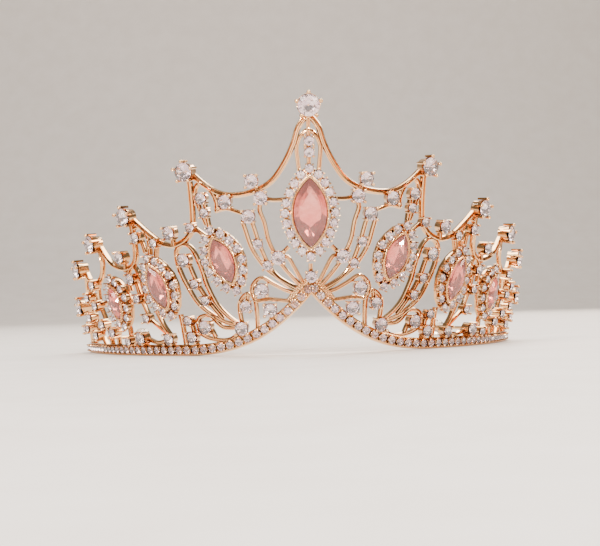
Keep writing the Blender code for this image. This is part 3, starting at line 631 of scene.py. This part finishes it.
def add_claw(shape, radius, turn, foot, thickness, bead, rise, bead_cuts=2):
    """One claw: a tapered pin up the cup's side and a bead that leans in over the stone."""
    spin = Matrix.Rotation(turn, 4, "Z")
    length = rise - foot
    middle = Matrix.Translation((radius, 0.0, foot + length / 2)) @ Matrix.Rotation(CLAW_LEAN, 4, "Y")
    bmesh.ops.create_cone(shape, cap_ends=True, segments=6, radius1=thickness * CLAW_TAPER,
                          radius2=thickness, depth=length, matrix=spin @ middle)
    tip = Matrix.Translation((radius, 0.0, rise))
    bmesh.ops.create_icosphere(shape, subdivisions=bead_cuts, radius=bead, matrix=spin @ tip)


def shape_ring(face, radius, height):
    """Bring a round face's corners to a radius and a height."""
    for vert in face.verts:
        vert.co = Vector((*(vert.co.xy.normalized() * radius), height))


def claw_cup(name, diameter, claws, depth, scallop, thickness, bead):
    """A cup round a stone of a diameter, its foot at a depth under the girdle."""
    radius = diameter / 2
    outer = radius + RIM_SHOW
    shape = bmesh.new()
    bmesh.ops.create_circle(shape, cap_ends=True, segments=claws * 4, radius=outer * CUP_BACK_SHARE,
                            matrix=Matrix.Translation((0.0, 0.0, -depth)))
    top = extrude_on(shape, shape.faces[:][0], keep=True)
    shape_ring(top, outer * WAIST_RADIUS, -depth * WAIST_DEPTH)
    for ring_radius in (outer, outer - CUP_WALL):
        top = extrude_on(shape, top)
        shape_ring(top, ring_radius, -RIM_DEPTH)
        for vert in top.verts:
            vert.co.z += scallop * math.cos(claws * math.atan2(vert.co.y, vert.co.x))
    top = extrude_on(shape, top)
    shape_ring(top, radius * POCKET_RADIUS, -PAVILION_SHARE * diameter * POCKET_DEPTH)
    for k in range(claws):
        turn = math.tau * (k / claws + (0.25 if claws % 2 else 0.5 / claws))
        add_claw(shape, radius + CLAW_OUT, turn, -depth * CLAW_FOOT, thickness, bead, CLAW_RISE)
    soften(shape)
    return pattern_of(shape, name)


CUPS = (
    # size, stone, claws, scallop, a claw's thickness, radius of its bead
    ("top", TOP_STONE, 5, 0.3, 0.5, 0.62),
    ("tip", SIZES["tip"], 5, 0.28, 0.45, 0.56),
    ("large", SIZES["large"], 4, 0.18, 0.4, 0.48),
    ("medium", SIZES["medium"], 4, 0.15, 0.36, 0.43),
    ("small", SIZES["small"], 4, 0.12, 0.32, 0.38),
)
CUP_PATTERNS = {size: claw_cup(f"{size}_cup", stone, claws, cup_depth(stone) + CUP_FOOT, *rest)
                for size, stone, claws, *rest in CUPS}
print({name: len(mesh.polygons) for name, mesh in CUP_PATTERNS.items()}, "faces in a cup")

# %% [markdown]
# The named stones are pieces of their own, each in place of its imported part. The stones that are fused into
# the crown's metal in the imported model, and the finest ones, which only this file has, go into one piece.

# %% Set the round stones
FINE_STONES = (
    # along, up, size; the finest stones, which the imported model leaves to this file
    (0.288, 0.588, "small"), (0.459, 0.480, "small"), (0.335, 0.301, "small"), (0.306, 0.228, "small"),
    (0.520, 0.165, "small"), (0.616, 0.066, "small"), (0.906, 0.120, "small"), (0.962, 0.115, "small"),
    (0.143, 0.413, "small"), (0.119, 0.305, "small"),
)
CENTRE_STONES = ((0.816, "small"), (0.757, "small"), (0.100, "medium"))

cups = bmesh.new()
fused_stones = bmesh.new()


def stone_seat(angle, height, diameter):
    return seat(angle, height, cup_depth(diameter))


def set_round(angle, height, size, diameter, node=None):
    """Stamp a cup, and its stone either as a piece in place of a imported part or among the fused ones."""
    place = stone_seat(angle, height, diameter)
    stamp(cups, CUP_PATTERNS[size], place)
    if node is None:
        stamp(fused_stones, STONE_PATTERNS[size], place)
        return
    stone = bmesh.new()
    stamp(stone, STONE_PATTERNS[size], place)
    finish_piece(node + "_cut", stone, CLEAR, [node])


set_round(0.0, CROWN_HEIGHT, "top", TOP_STONE, "top_stone")
for name, _, _, size, own in STONES:
    for side, word in ((-1, "left"), (1, "right")):
        angle, height = PLACES[name]
        set_round(side * angle, height, size, SIZES[size], f"{name}_{word}" if own else None)
for along, up, size in FINE_STONES:
    angle, height = place_of(along, up)
    for side in (-1, 1):
        set_round(side * angle, height, size, SIZES[size])
for up, size in CENTRE_STONES:
    set_round(*place_of(0.0, up), size, SIZES[size])
finish_piece("claw_cups", cups, [PLATING], ["crown_frame"])
finish_piece("small_set_stones", fused_stones, CLEAR)

# %% [markdown]
# The marquise stones are pressed salmon glass. Their outline is two arcs that meet in points. The facets are
# again a hull: a long table, a ring of corners half-way down the crown set between those of the table, the
# girdle, and a keel underneath.

# %% Marquise stones
MARQUISES = (
    # name, along, up, length, width, lean in degrees
    ("centre", 0.0, 0.440, 20.0, 9.6, 0.0),
    ("1", 0.2415, 0.3835, 13.6, 6.6, 20.5),
    ("2", 0.456, 0.2975, 13.4, 6.2, 22.0),
    ("3", 0.6455, 0.2365, 10.4, 5.0, 18.5),
)
MARQUISE_CROWN = 1.4
MARQUISE_PAVILION = 1.5
MARQUISE_GIRDLE = 0.4
MARQUISE_SIDES = 18


def marquise_point(length, width, share):
    """A point of the outline, by its share of the way round from the lower tip."""
    half, bulge = length / 2, width / 2
    radius = (half**2 + bulge**2) / (2 * bulge)
    reach = math.asin(half / radius)
    sign = 1 if share % 1.0 < 0.5 else -1
    turn = reach * (4 * (share % 0.5) - 1)
    return Vector((sign * (radius * math.cos(turn) - radius + bulge), sign * radius * math.sin(turn), 0.0))


def ring_of(shape, points, capped=False):
    """A closed ring of corners, made as a circle and moved to the points."""
    verts = bmesh.ops.create_circle(shape, cap_ends=capped, segments=len(points), radius=1.0)["verts"]
    for vert, point in zip(verts, points):
        vert.co = point
    return verts


def marquise_ring(length, width, height, count, shift=0.0):
    rise = Vector((0.0, 0.0, height))
    return [marquise_point(length, width, (k + shift) / count) + rise for k in range(count)]


def marquise_stone(length, width):
    shape = bmesh.new()
    for along, across, height, shift in (
            (0.60, 0.52, MARQUISE_CROWN, 0.0), (0.80, 0.78, MARQUISE_CROWN * 0.74, 0.5),
            (1.0, 1.0, MARQUISE_GIRDLE, 0.0), (1.0, 1.0, 0.0, 0.0),
            (0.74, 0.62, -MARQUISE_PAVILION * 0.62, 0.5), (0.42, 0.06, -MARQUISE_PAVILION, 0.0)):
        ring_of(shape, marquise_ring(length * along, width * across, height, MARQUISE_SIDES, shift))
    return facet("marquise", shape)


# %% [markdown]
# Round each marquise stone stands a thin wall with a milled edge, a row of tiny beads that the plating keeps
# bright. The wall is a stack of rings bridged one to the next, and each bead is a small ball.

# %% Bezels with milled edges
BEZEL_WALL = 0.55
BEZEL_RIM = 0.1
MILLED_BEAD = 0.3
MILLED_PITCH = 0.66
BEZEL_SIDES = 56
POINT_GROWTH = 0.8  # how much further a bezel's points move out than its sides
BEZEL_BEVEL = 0.12
BEZEL_PLAY = 0.08  # between the wall's inside and the stone


def grown(length, width, height, by, count=BEZEL_SIDES):
    """A marquise ring with its sides moved out, and its points further, as their sharpness needs."""
    return marquise_ring(length + 2 * by * length / width * POINT_GROWTH, width + 2 * by, height, count)


def even_points(points, pitch):
    """Places at even steps round a closed ring of points, with their share of the way."""
    lengths = [0.0]
    for a, b in zip(points, points[1:] + points[:1]):
        lengths.append(lengths[-1] + (b - a).length)
    count = round(lengths[-1] / pitch / 2) * 2
    found = []
    i = 0
    for k in range(count):
        target = lengths[-1] * k / count
        while lengths[i + 1] < target:
            i += 1
        share = (target - lengths[i]) / (lengths[i + 1] - lengths[i])
        found.append(points[i].lerp(points[(i + 1) % len(points)], share))
    return found


def bezel(length, width):
    shape = bmesh.new()
    floor = -MARQUISE_PAVILION - SEAT_GAP
    back = floor - CUP_FLOOR - WIRE_DEPTH - CUP_FOOT
    rings = [ring_of(shape, grown(length, width, back, SEAT_GAP), True)]
    for height, by in ((back + 0.8, SEAT_GAP + 0.35), (BEZEL_RIM - BEZEL_BEVEL, SEAT_GAP + BEZEL_WALL),
                       (BEZEL_RIM, SEAT_GAP + BEZEL_WALL - BEZEL_BEVEL),
                       (BEZEL_RIM + 0.1, SEAT_GAP + 0.1), (BEZEL_RIM, BEZEL_PLAY)):
        rings.append(ring_of(shape, grown(length, width, height, by)))
    rings.append(ring_of(shape, grown(length * 0.86, width * 0.8, floor, BEZEL_PLAY), True))
    for lower, upper in zip(rings, rings[1:]):
        loops = [edge for edge in shape.edges
                 if (edge.verts[0] in lower and edge.verts[1] in lower)
                 or (edge.verts[0] in upper and edge.verts[1] in upper)]
        bmesh.ops.bridge_loops(shape, edges=loops)
    bmesh.ops.recalc_face_normals(shape, faces=shape.faces)
    soften(shape)
    rim = grown(length, width, BEZEL_RIM + 0.08, SEAT_GAP + BEZEL_WALL * 0.45)
    for point in even_points(rim, MILLED_PITCH):
        made = bmesh.ops.create_icosphere(shape, subdivisions=1, radius=MILLED_BEAD,
                                          matrix=Matrix.Translation(point))
        for face in {face for vert in made["verts"] for face in vert.link_faces}:
            face.smooth = True
    return pattern_of(shape, "bezel", outwards=False)


# %% [markdown]
# A halo is a ring of small claw-set stones round each marquise, with a dark gap between them. The claws
# stand between the stones in pairs, lean outwards a little and end in beads, so the ring's outline is spiky.
# A rail behind the stones carries them, and four bars join the rail to the bezel.

# %% Halos
HALO_PITCH = 3.1
HALO_TIP_CLEARANCE = 2.75
HALO_SIDE_CLEARANCE = 2.3
HALO_POWER = 1.55
HALO_DEPTH = 1.3
HALO_STEPS = 360
RAIL_WIDTH = 1.5
BAR_START = 0.4  # where a bar leaves the bezel, of the marquise's length or width
SMALL_CLAW_RISE = 0.42
HALO_CLAWS = (50, 130, 230, 310)


def small_cup(name, diameter, depth, turns, bead, reach):
    """A shallow round cup whose claws stand at some turns, in degrees from the row's direction."""
    outer = diameter / 2 + 0.1
    shape = bmesh.new()
    bmesh.ops.create_circle(shape, cap_ends=True, segments=10, radius=outer * 0.72,
                            matrix=Matrix.Translation((0.0, 0.0, -depth)))
    top = extrude_on(shape, shape.faces[:][0], keep=True)
    shape_ring(top, outer, -0.2)
    for radius, height in ((outer - 0.12, -0.14), (outer * 0.25, -PAVILION_SHARE * diameter * 0.9)):
        top = extrude_on(shape, top)
        shape_ring(top, radius, height)
    for turn in turns:
        add_claw(shape, diameter / 2 + reach, math.radians(turn), -depth * 0.6, bead * 0.8, bead,
                 SMALL_CLAW_RISE, 1)
    soften(shape)
    return pattern_of(shape, name)


CUP_PATTERNS["halo"] = small_cup("halo_cup", HALO_STONE, HALO_DEPTH + SEAT_GAP, HALO_CLAWS, 0.31, 0.26)


def halo_path(length, width):
    """Middles of a halo's stones round the marquise, between a lozenge and an ellipse."""
    half = length / 2 + HALO_TIP_CLEARANCE
    bulge = width / 2 + HALO_SIDE_CLEARANCE
    fine = []
    for k in range(HALO_STEPS):
        x, y = math.sin(math.tau * k / HALO_STEPS), math.cos(math.tau * k / HALO_STEPS)
        fine.append(Vector((bulge * math.copysign(abs(x) ** (2 / HALO_POWER), x),
                            half * math.copysign(abs(y) ** (2 / HALO_POWER), y), 0.0)))
    return even_points(fine, HALO_PITCH)


def make_jewel(name, angle, height, length, width, lean):
    """A marquise in its bezel, with its halo, the rail behind and the bars between."""
    girdle = WIRE_DEPTH + CUP_FLOOR + SEAT_GAP + MARQUISE_PAVILION
    stone = bmesh.new()
    pattern = marquise_stone(length, width)
    stamp(stone, pattern, seat(angle, height, girdle, lean))
    finish_piece(f"marquise_{name}_cut", stone, PINK, [f"marquise_{name}"])
    pattern = bezel(length, width)
    stamp(bezels, pattern, seat(angle, height, girdle, lean))
    flat = seat(angle, height, 0.0, lean)
    path = halo_path(length, width)
    ring = bmesh.new()
    for k, point in enumerate(path):
        run = path[(k + 1) % len(path)] - path[k - 1]
        place = seat(*place_under(flat @ point), WIRE_DEPTH + SEAT_GAP + HALO_DEPTH)
        run_here = place.inverted().to_3x3() @ (flat.to_3x3() @ run)
        place = place @ Matrix.Rotation(math.atan2(run_here.y, run_here.x), 4, "Z")
        stamp(ring, STONE_PATTERNS["halo"], place)
        stamp(halo_cups, CUP_PATTERNS["halo"], place)
    finish_piece(f"halo_{name}_cut", ring, CLEAR, [f"halo_{name}"])
    collect(ribs_behind, wire([place_under(flat @ point) for point in path], RAIL_WIDTH, True))
    reach = length / 2 + HALO_TIP_CLEARANCE
    spread = width / 2 + HALO_SIDE_CLEARANCE
    for axis, start, end in ((1, length * BAR_START, reach), (1, -length * BAR_START, -reach),
                             (0, width * BAR_START, spread), (0, -width * BAR_START, -spread)):
        points = [Vector((0.0, 0.0, 0.0)), Vector((0.0, 0.0, 0.0))]
        points[0][axis], points[1][axis] = start, end
        collect(ribs_behind, wire([place_under(flat @ point) for point in points], RIB_WIDTH))


bezels = bmesh.new()
halo_cups = bmesh.new()
ribs_behind = bmesh.new()
for name, along, up, length, width, lean in MARQUISES:
    angle, height = place_of(along, up)
    if name == "centre":
        make_jewel(name, 0.0, height, length, width, 0.0)
        continue
    for side, word in ((-1, "left"), (1, "right")):
        make_jewel(f"{word}_{name}", side * angle, height, length, width, side * lean)
finish_piece("milled_bezels", bezels, [PLATING], ["crown_frame"])
finish_piece("halo_cups", halo_cups, [PLATING])
finish_piece("halo_rails", ribs_behind, [PLATING], ["crown_frame"])

# %% [markdown]
# One row of small stones runs the whole length of the band, each in a shallow cup in the channel. Four small
# claws hold each stone. The row is spaced evenly along the band's own length.

# %% Stones of the band
BAND_PITCH = 2.9
BAND_ROW = 2.0  # middle of the row above the band's lower edge
BAND_GIRDLE = 2.15
BAND_ROW_SHARE = 0.985  # how far towards the band's ends the row goes
BAND_ROW_STEPS = 1400
BAND_CLAWS = (42, 138, 222, 318)
CUP_PATTERNS["band"] = small_cup("band_cup", BAND_STONE, 1.0, BAND_CLAWS, 0.25, 0.14)


def band_places(pitch, row, lift):
    """Axes at even steps along the band, X along the row."""
    fine = []
    steps = BAND_ROW_STEPS
    for k in range(steps + 1):
        angle = BAND_ANGLE * BAND_ROW_SHARE * (2 * k / steps - 1)
        fine.append((angle, band_station(angle) @ Vector((row, 0.0, 0.0))))
    lengths = [0.0]
    for (_, a), (_, b) in zip(fine, fine[1:]):
        lengths.append(lengths[-1] + (b - a).length)
    count = round(lengths[-1] / pitch)
    found = []
    i = 0
    for k in range(count + 1):
        target = lengths[-1] * k / count
        while i < steps - 1 and lengths[i + 1] < target:
            i += 1
        angle, spot = fine[i]
        ahead = (fine[i + 1][1] - spot).normalized()
        outwards = seat(*place_under(spot)).to_3x3() @ Vector((0.0, 0.0, 1.0))
        upward = outwards.cross(ahead).normalized()
        axes = Matrix((ahead, upward, ahead.cross(upward))).transposed().to_4x4()
        found.append(Matrix.Translation(spot + outwards * lift) @ axes)
    return found


band_cups = bmesh.new()
band_row = bmesh.new()
row = band_places(BAND_PITCH, BAND_ROW, BAND_GIRDLE)
for place in row:
    stamp(band_cups, CUP_PATTERNS["band"], place)
    stamp(band_row, STONE_PATTERNS["band"], place)
print(len(row), "stones along the band")
finish_piece("band_cups", band_cups, [PLATING])
finish_piece("band_stones", band_row, CLEAR)

# %% [markdown]
# Where the fan's ribs meet at the front of the band, the casting has a small plate covered in beads. The
# plate is a swept strip and the beads are balls in rows that follow it.

# %% The beaded root of the fan
ROOT_WIDTH = 4.6
ROOT_BEAD = 0.42
ROOT_STEP = 0.95
ROOT_ROWS = (-1.7, -0.85, 0.0, 0.85, 1.7)
ROOT_STAGGER = 0.2
root = bmesh.new()
plate = route_of(((0.0, 0.052), (0.052, 0.052)))
plate = [(-angle, height) for angle, height in reversed(plate[1:])] + plate
outline = [(x * ROOT_WIDTH, z * WIRE_DEPTH) for x, z in
           ((-0.5, 0.0), (0.5, 0.0), (0.5, 0.7), (0.44, 1.0), (-0.44, 1.0), (-0.5, 0.7))]
root_places = stations(smooth_route(plate, ROOT_STEP))
collect(root, sweep(outline, root_places))
for k, place in enumerate(root_places):
    for across in ROOT_ROWS:
        shift = Matrix.Translation((across + ROOT_STAGGER * (k % 2), 0.0, WIRE_DEPTH))
        ball = bmesh.new()
        bmesh.ops.create_icosphere(ball, subdivisions=2, radius=ROOT_BEAD, matrix=place @ shift)
        soften(ball, 180.0)
        collect(root, ball)
finish_piece("beaded_root", root, [PLATING], ["crown_frame"])

# %% [markdown]
# Two plain round wires run back from the band's ends, and each ends in a faceted champagne bead. At the band
# the wire turns up behind it and is soldered there.

# %% Side wires and beads
SIDE_WIRE = 1.3
BEAD = 6.6
SIDE_WIRE_HEIGHT = BEAD / 2
SOLDER_OVERLAP = 0.2
SIDE_WIRE_START = 73.5
SIDE_WIRE_END = 125.0
BEAD_BORE_DEPTH = 3.4
BEAD_CORNERS = 12
BEAD_CIRCLES = ((-0.41, 0.0), (-0.24, 0.5), (-0.07, 0.0), (0.1, 0.5), (0.25, 0.0), (0.4, 0.5))
UPSTAND = 8.5
SIDE_WIRE_STEPS = 40
SIDE_WIRE_LEVEL = 1.8  # degrees past its start where the wire runs level


def side_wire_point(angle, height=SIDE_WIRE_HEIGHT):
    return surface(angle, height) - level_outwards(angle) * (SIDE_WIRE / 2 - SOLDER_OVERLAP)


def tube(spots, radius, sides=10):
    """A round wire through points, closed at both ends."""
    places = []
    for i, spot in enumerate(spots):
        ahead = (spots[min(i + 1, len(spots) - 1)] - spots[max(i - 1, 0)]).normalized()
        aside = ahead.cross(level_outwards(place_under(spot)[0])).normalized()
        axes = Matrix((aside, ahead, aside.cross(ahead))).transposed().to_4x4()
        places.append(Matrix.Translation(spot) @ axes)
    outline = [(radius * math.cos(math.tau * k / sides), radius * math.sin(math.tau * k / sides))
               for k in range(sides)]
    return sweep(outline, places)


def faceted_bead():
    shape = bmesh.new()
    radius = BEAD / 2
    for turn, spin in BEAD_CIRCLES:
        height = radius * math.sin(math.pi * turn)
        bmesh.ops.create_circle(shape, segments=BEAD_CORNERS, radius=radius * math.cos(math.pi * turn),
                                matrix=Matrix.Translation((0.0, 0.0, height))
                                @ Matrix.Rotation(math.tau * spin / BEAD_CORNERS, 4, "Z"))
    return facet("bead", shape, -BEAD)


bead_pattern = faceted_bead()
side_wires = bmesh.new()
for side, word in ((-1, "left"), (1, "right")):
    rise = [(SIDE_WIRE_START - 1.2, UPSTAND), (SIDE_WIRE_START - 1.2, UPSTAND - 1.6),
            (SIDE_WIRE_START - 1.0, SIDE_WIRE_HEIGHT + 1.8), (SIDE_WIRE_START - 0.3, SIDE_WIRE_HEIGHT + 0.6),
            (SIDE_WIRE_START + 0.9, SIDE_WIRE_HEIGHT)]
    spots = [side_wire_point(side * angle, height) for angle, height in rise]
    for k in range(SIDE_WIRE_STEPS + 1):
        span = SIDE_WIRE_END - SIDE_WIRE_START - SIDE_WIRE_LEVEL
        angle = SIDE_WIRE_START + SIDE_WIRE_LEVEL + span * k / SIDE_WIRE_STEPS
        spots.append(side_wire_point(side * angle))
    collect(side_wires, tube(spots, SIDE_WIRE / 2))
    ahead = (spots[-1] - spots[-3]).normalized()
    bore = SIDE_WIRE / 2 + SEAT_GAP
    mouth = math.sqrt((BEAD / 2) ** 2 - bore**2)
    middle = spots[-1] + ahead * (mouth - BEAD_BORE_DEPTH + SEAT_GAP)
    bead = bmesh.new()
    stamp(bead, bead_pattern, Matrix.Translation(middle) @ ahead.to_track_quat("Z", "Y").to_matrix().to_4x4())
    finish_piece(f"end_bead_{word}_cut", bead, CHAMPAGNE, [f"end_bead_{word}"])
finish_piece("side_wires", side_wires, [PLATING], ["crown_frame"])

# %% [markdown]
# The patterns were only for stamping, so they go. Then the stage: a pale floor that sweeps up behind, in one
# curve, so that no horizon shows behind the crown.

# %% Floor and backdrop
FIBRE_SCALE = 60.0  # patches of about 17 mm
HALF_SHEET = 1.8  # metres, as are all the sheet's sizes
SHEET_FRONT = -1.6
SHEET_BACK = 0.75
SHEET_BEND = 0.45
SHEET_RISE = 1.5

for mesh in list(bpy.data.meshes):
    if mesh.name.startswith("pattern_"):
        bpy.data.meshes.remove(mesh)


def make_floor():
    material, tree, shader, where = start_material("pale_matt_paper")
    fibres = add_node(tree, "ShaderNodeTexNoise", {"Scale": FIBRE_SCALE, "Detail": 4.0}, {"Vector": where})
    tree.links.new(colour_ramp(tree, fibres.outputs["Fac"], "E6DFD8", "ECE6E0"), shader.inputs["Base Color"])
    shader.inputs["Roughness"].default_value = 0.7
    shape = bmesh.new()
    ends = [shape.verts.new((x, SHEET_FRONT, 0.0)) for x in (-HALF_SHEET, HALF_SHEET)]
    front = shape.edges.new(ends)
    made = bmesh.ops.extrude_edge_only(shape, edges=[front])["geom"]
    moved = [item for item in made if isinstance(item, bmesh.types.BMVert)]
    for vert in moved:
        vert.co.y = SHEET_BACK
    edge = next(item for item in made if isinstance(item, bmesh.types.BMEdge))
    bmesh.ops.spin(shape, geom=[edge, *moved], cent=(0.0, SHEET_BACK, SHEET_BEND), axis=(1.0, 0.0, 0.0),
                   angle=math.pi / 2, steps=24, use_merge=False)
    top = max(shape.edges, key=lambda item: min(vert.co.z for vert in item.verts))
    made = bmesh.ops.extrude_edge_only(shape, edges=[top])["geom"]
    for item in made:
        if isinstance(item, bmesh.types.BMVert):
            item.co.z += SHEET_RISE
    for face in shape.faces:
        face.smooth = True
    mesh = bpy.data.meshes.new("paper_sweep")
    shape.to_mesh(mesh)
    shape.free()
    mesh.materials.append(material)
    floor = bpy.data.objects.new("paper_sweep", mesh)
    bpy.context.scene.collection.objects.link(floor)
    return floor


floor = make_floor()
print("floor", [round(v, 2) for v in floor.dimensions])

# %% [markdown]
# Polished metal and cut stones show what is round them. So the light is soft and broad, from a few large
# panels with darkness between them, and some small lamps give the stones their sparks.

# %% Light
LIGHTS = (
    # name, place, size in metres, power in watts, colour
    ("large_panel_left", (-0.55, -0.55, 0.60), 0.45, 9.0, "FFF4E8"),
    ("large_panel_right", (0.65, -0.35, 0.45), 0.35, 5.0, "FFEBD9"),
    ("panel_above", (0.0, 0.10, 0.85), 0.60, 9.0, "FFFFFF"),
    ("panel_behind", (0.25, 0.55, 0.40), 0.30, 4.0, "FFF1E2"),
    ("lamp_left", (-0.25, -0.75, 0.25), 0.04, 2.2, "FFFFFF"),
    ("lamp_middle", (0.08, -0.70, 0.45), 0.04, 2.2, "FFFFFF"),
    ("lamp_right", (0.38, -0.65, 0.30), 0.04, 2.2, "FFF3E6"),
    ("lamp_low", (-0.05, -0.90, 0.10), 0.04, 1.6, "FFF3E6"),
)
for name, place, size, power, colour in LIGHTS:
    light = bpy.data.lights.new(name, "AREA")
    light.shape = "DISK"
    light.size = size
    light.energy = power
    light.color = linear(colour)[:3]
    lamp = bpy.data.objects.new(name, light)
    lamp.location = place
    lamp.rotation_euler = (Vector((0.0, -0.03, 0.03)) - Vector(place)).to_track_quat("-Z", "Y").to_euler()
    bpy.context.scene.collection.objects.link(lamp)
world = bpy.data.worlds.new("studio")
world.use_nodes = True
world.node_tree.nodes["Background"].inputs["Color"].default_value = linear("D8CEC6")
world.node_tree.nodes["Background"].inputs["Strength"].default_value = 0.32
bpy.context.scene.world = world
print(len(LIGHTS), "lights")

# %% [markdown]
# The photograph was taken from about 18 degrees below the band. With the crown on a floor the camera can't
# go there, so it takes its turn, distance, lens and roll from the photograph and stays just above the floor.

# %% Camera
VIEW_TURN = -3.1
VIEW_RISE = -1.2
DISTANCE = 434.7
ROLL = -1.6
AIM_HEIGHT = 25.0
AIM_FORWARD = 30.0  # the camera aims this far in front of the oval's middle
TARGET = Vector((0.0, OVAL_BACK - AIM_FORWARD, AIM_HEIGHT))
turn, rise = math.radians(VIEW_TURN), math.radians(VIEW_RISE)
back = Vector((math.sin(turn) * math.cos(rise), -math.cos(turn) * math.cos(rise), math.sin(rise)))
lens = bpy.data.cameras.new("camera")
lens.sensor_width = 36.0
lens.lens = 72.0
lens.clip_start = 0.01
camera = bpy.data.objects.new("camera", lens)
camera.location = (Vector((0.0, OVAL_BACK, AIM_HEIGHT)) + back * DISTANCE) * MM
aim = (TARGET * MM - camera.location).normalized()
roll = Matrix.Rotation(math.radians(ROLL), 4, "Z").to_quaternion()
camera.rotation_mode = "QUATERNION"
camera.rotation_quaternion = aim.to_track_quat("-Z", "Y") @ roll
bpy.context.scene.collection.objects.link(camera)
bpy.context.scene.camera = camera
print("camera height:", round(camera.location.z, 4))
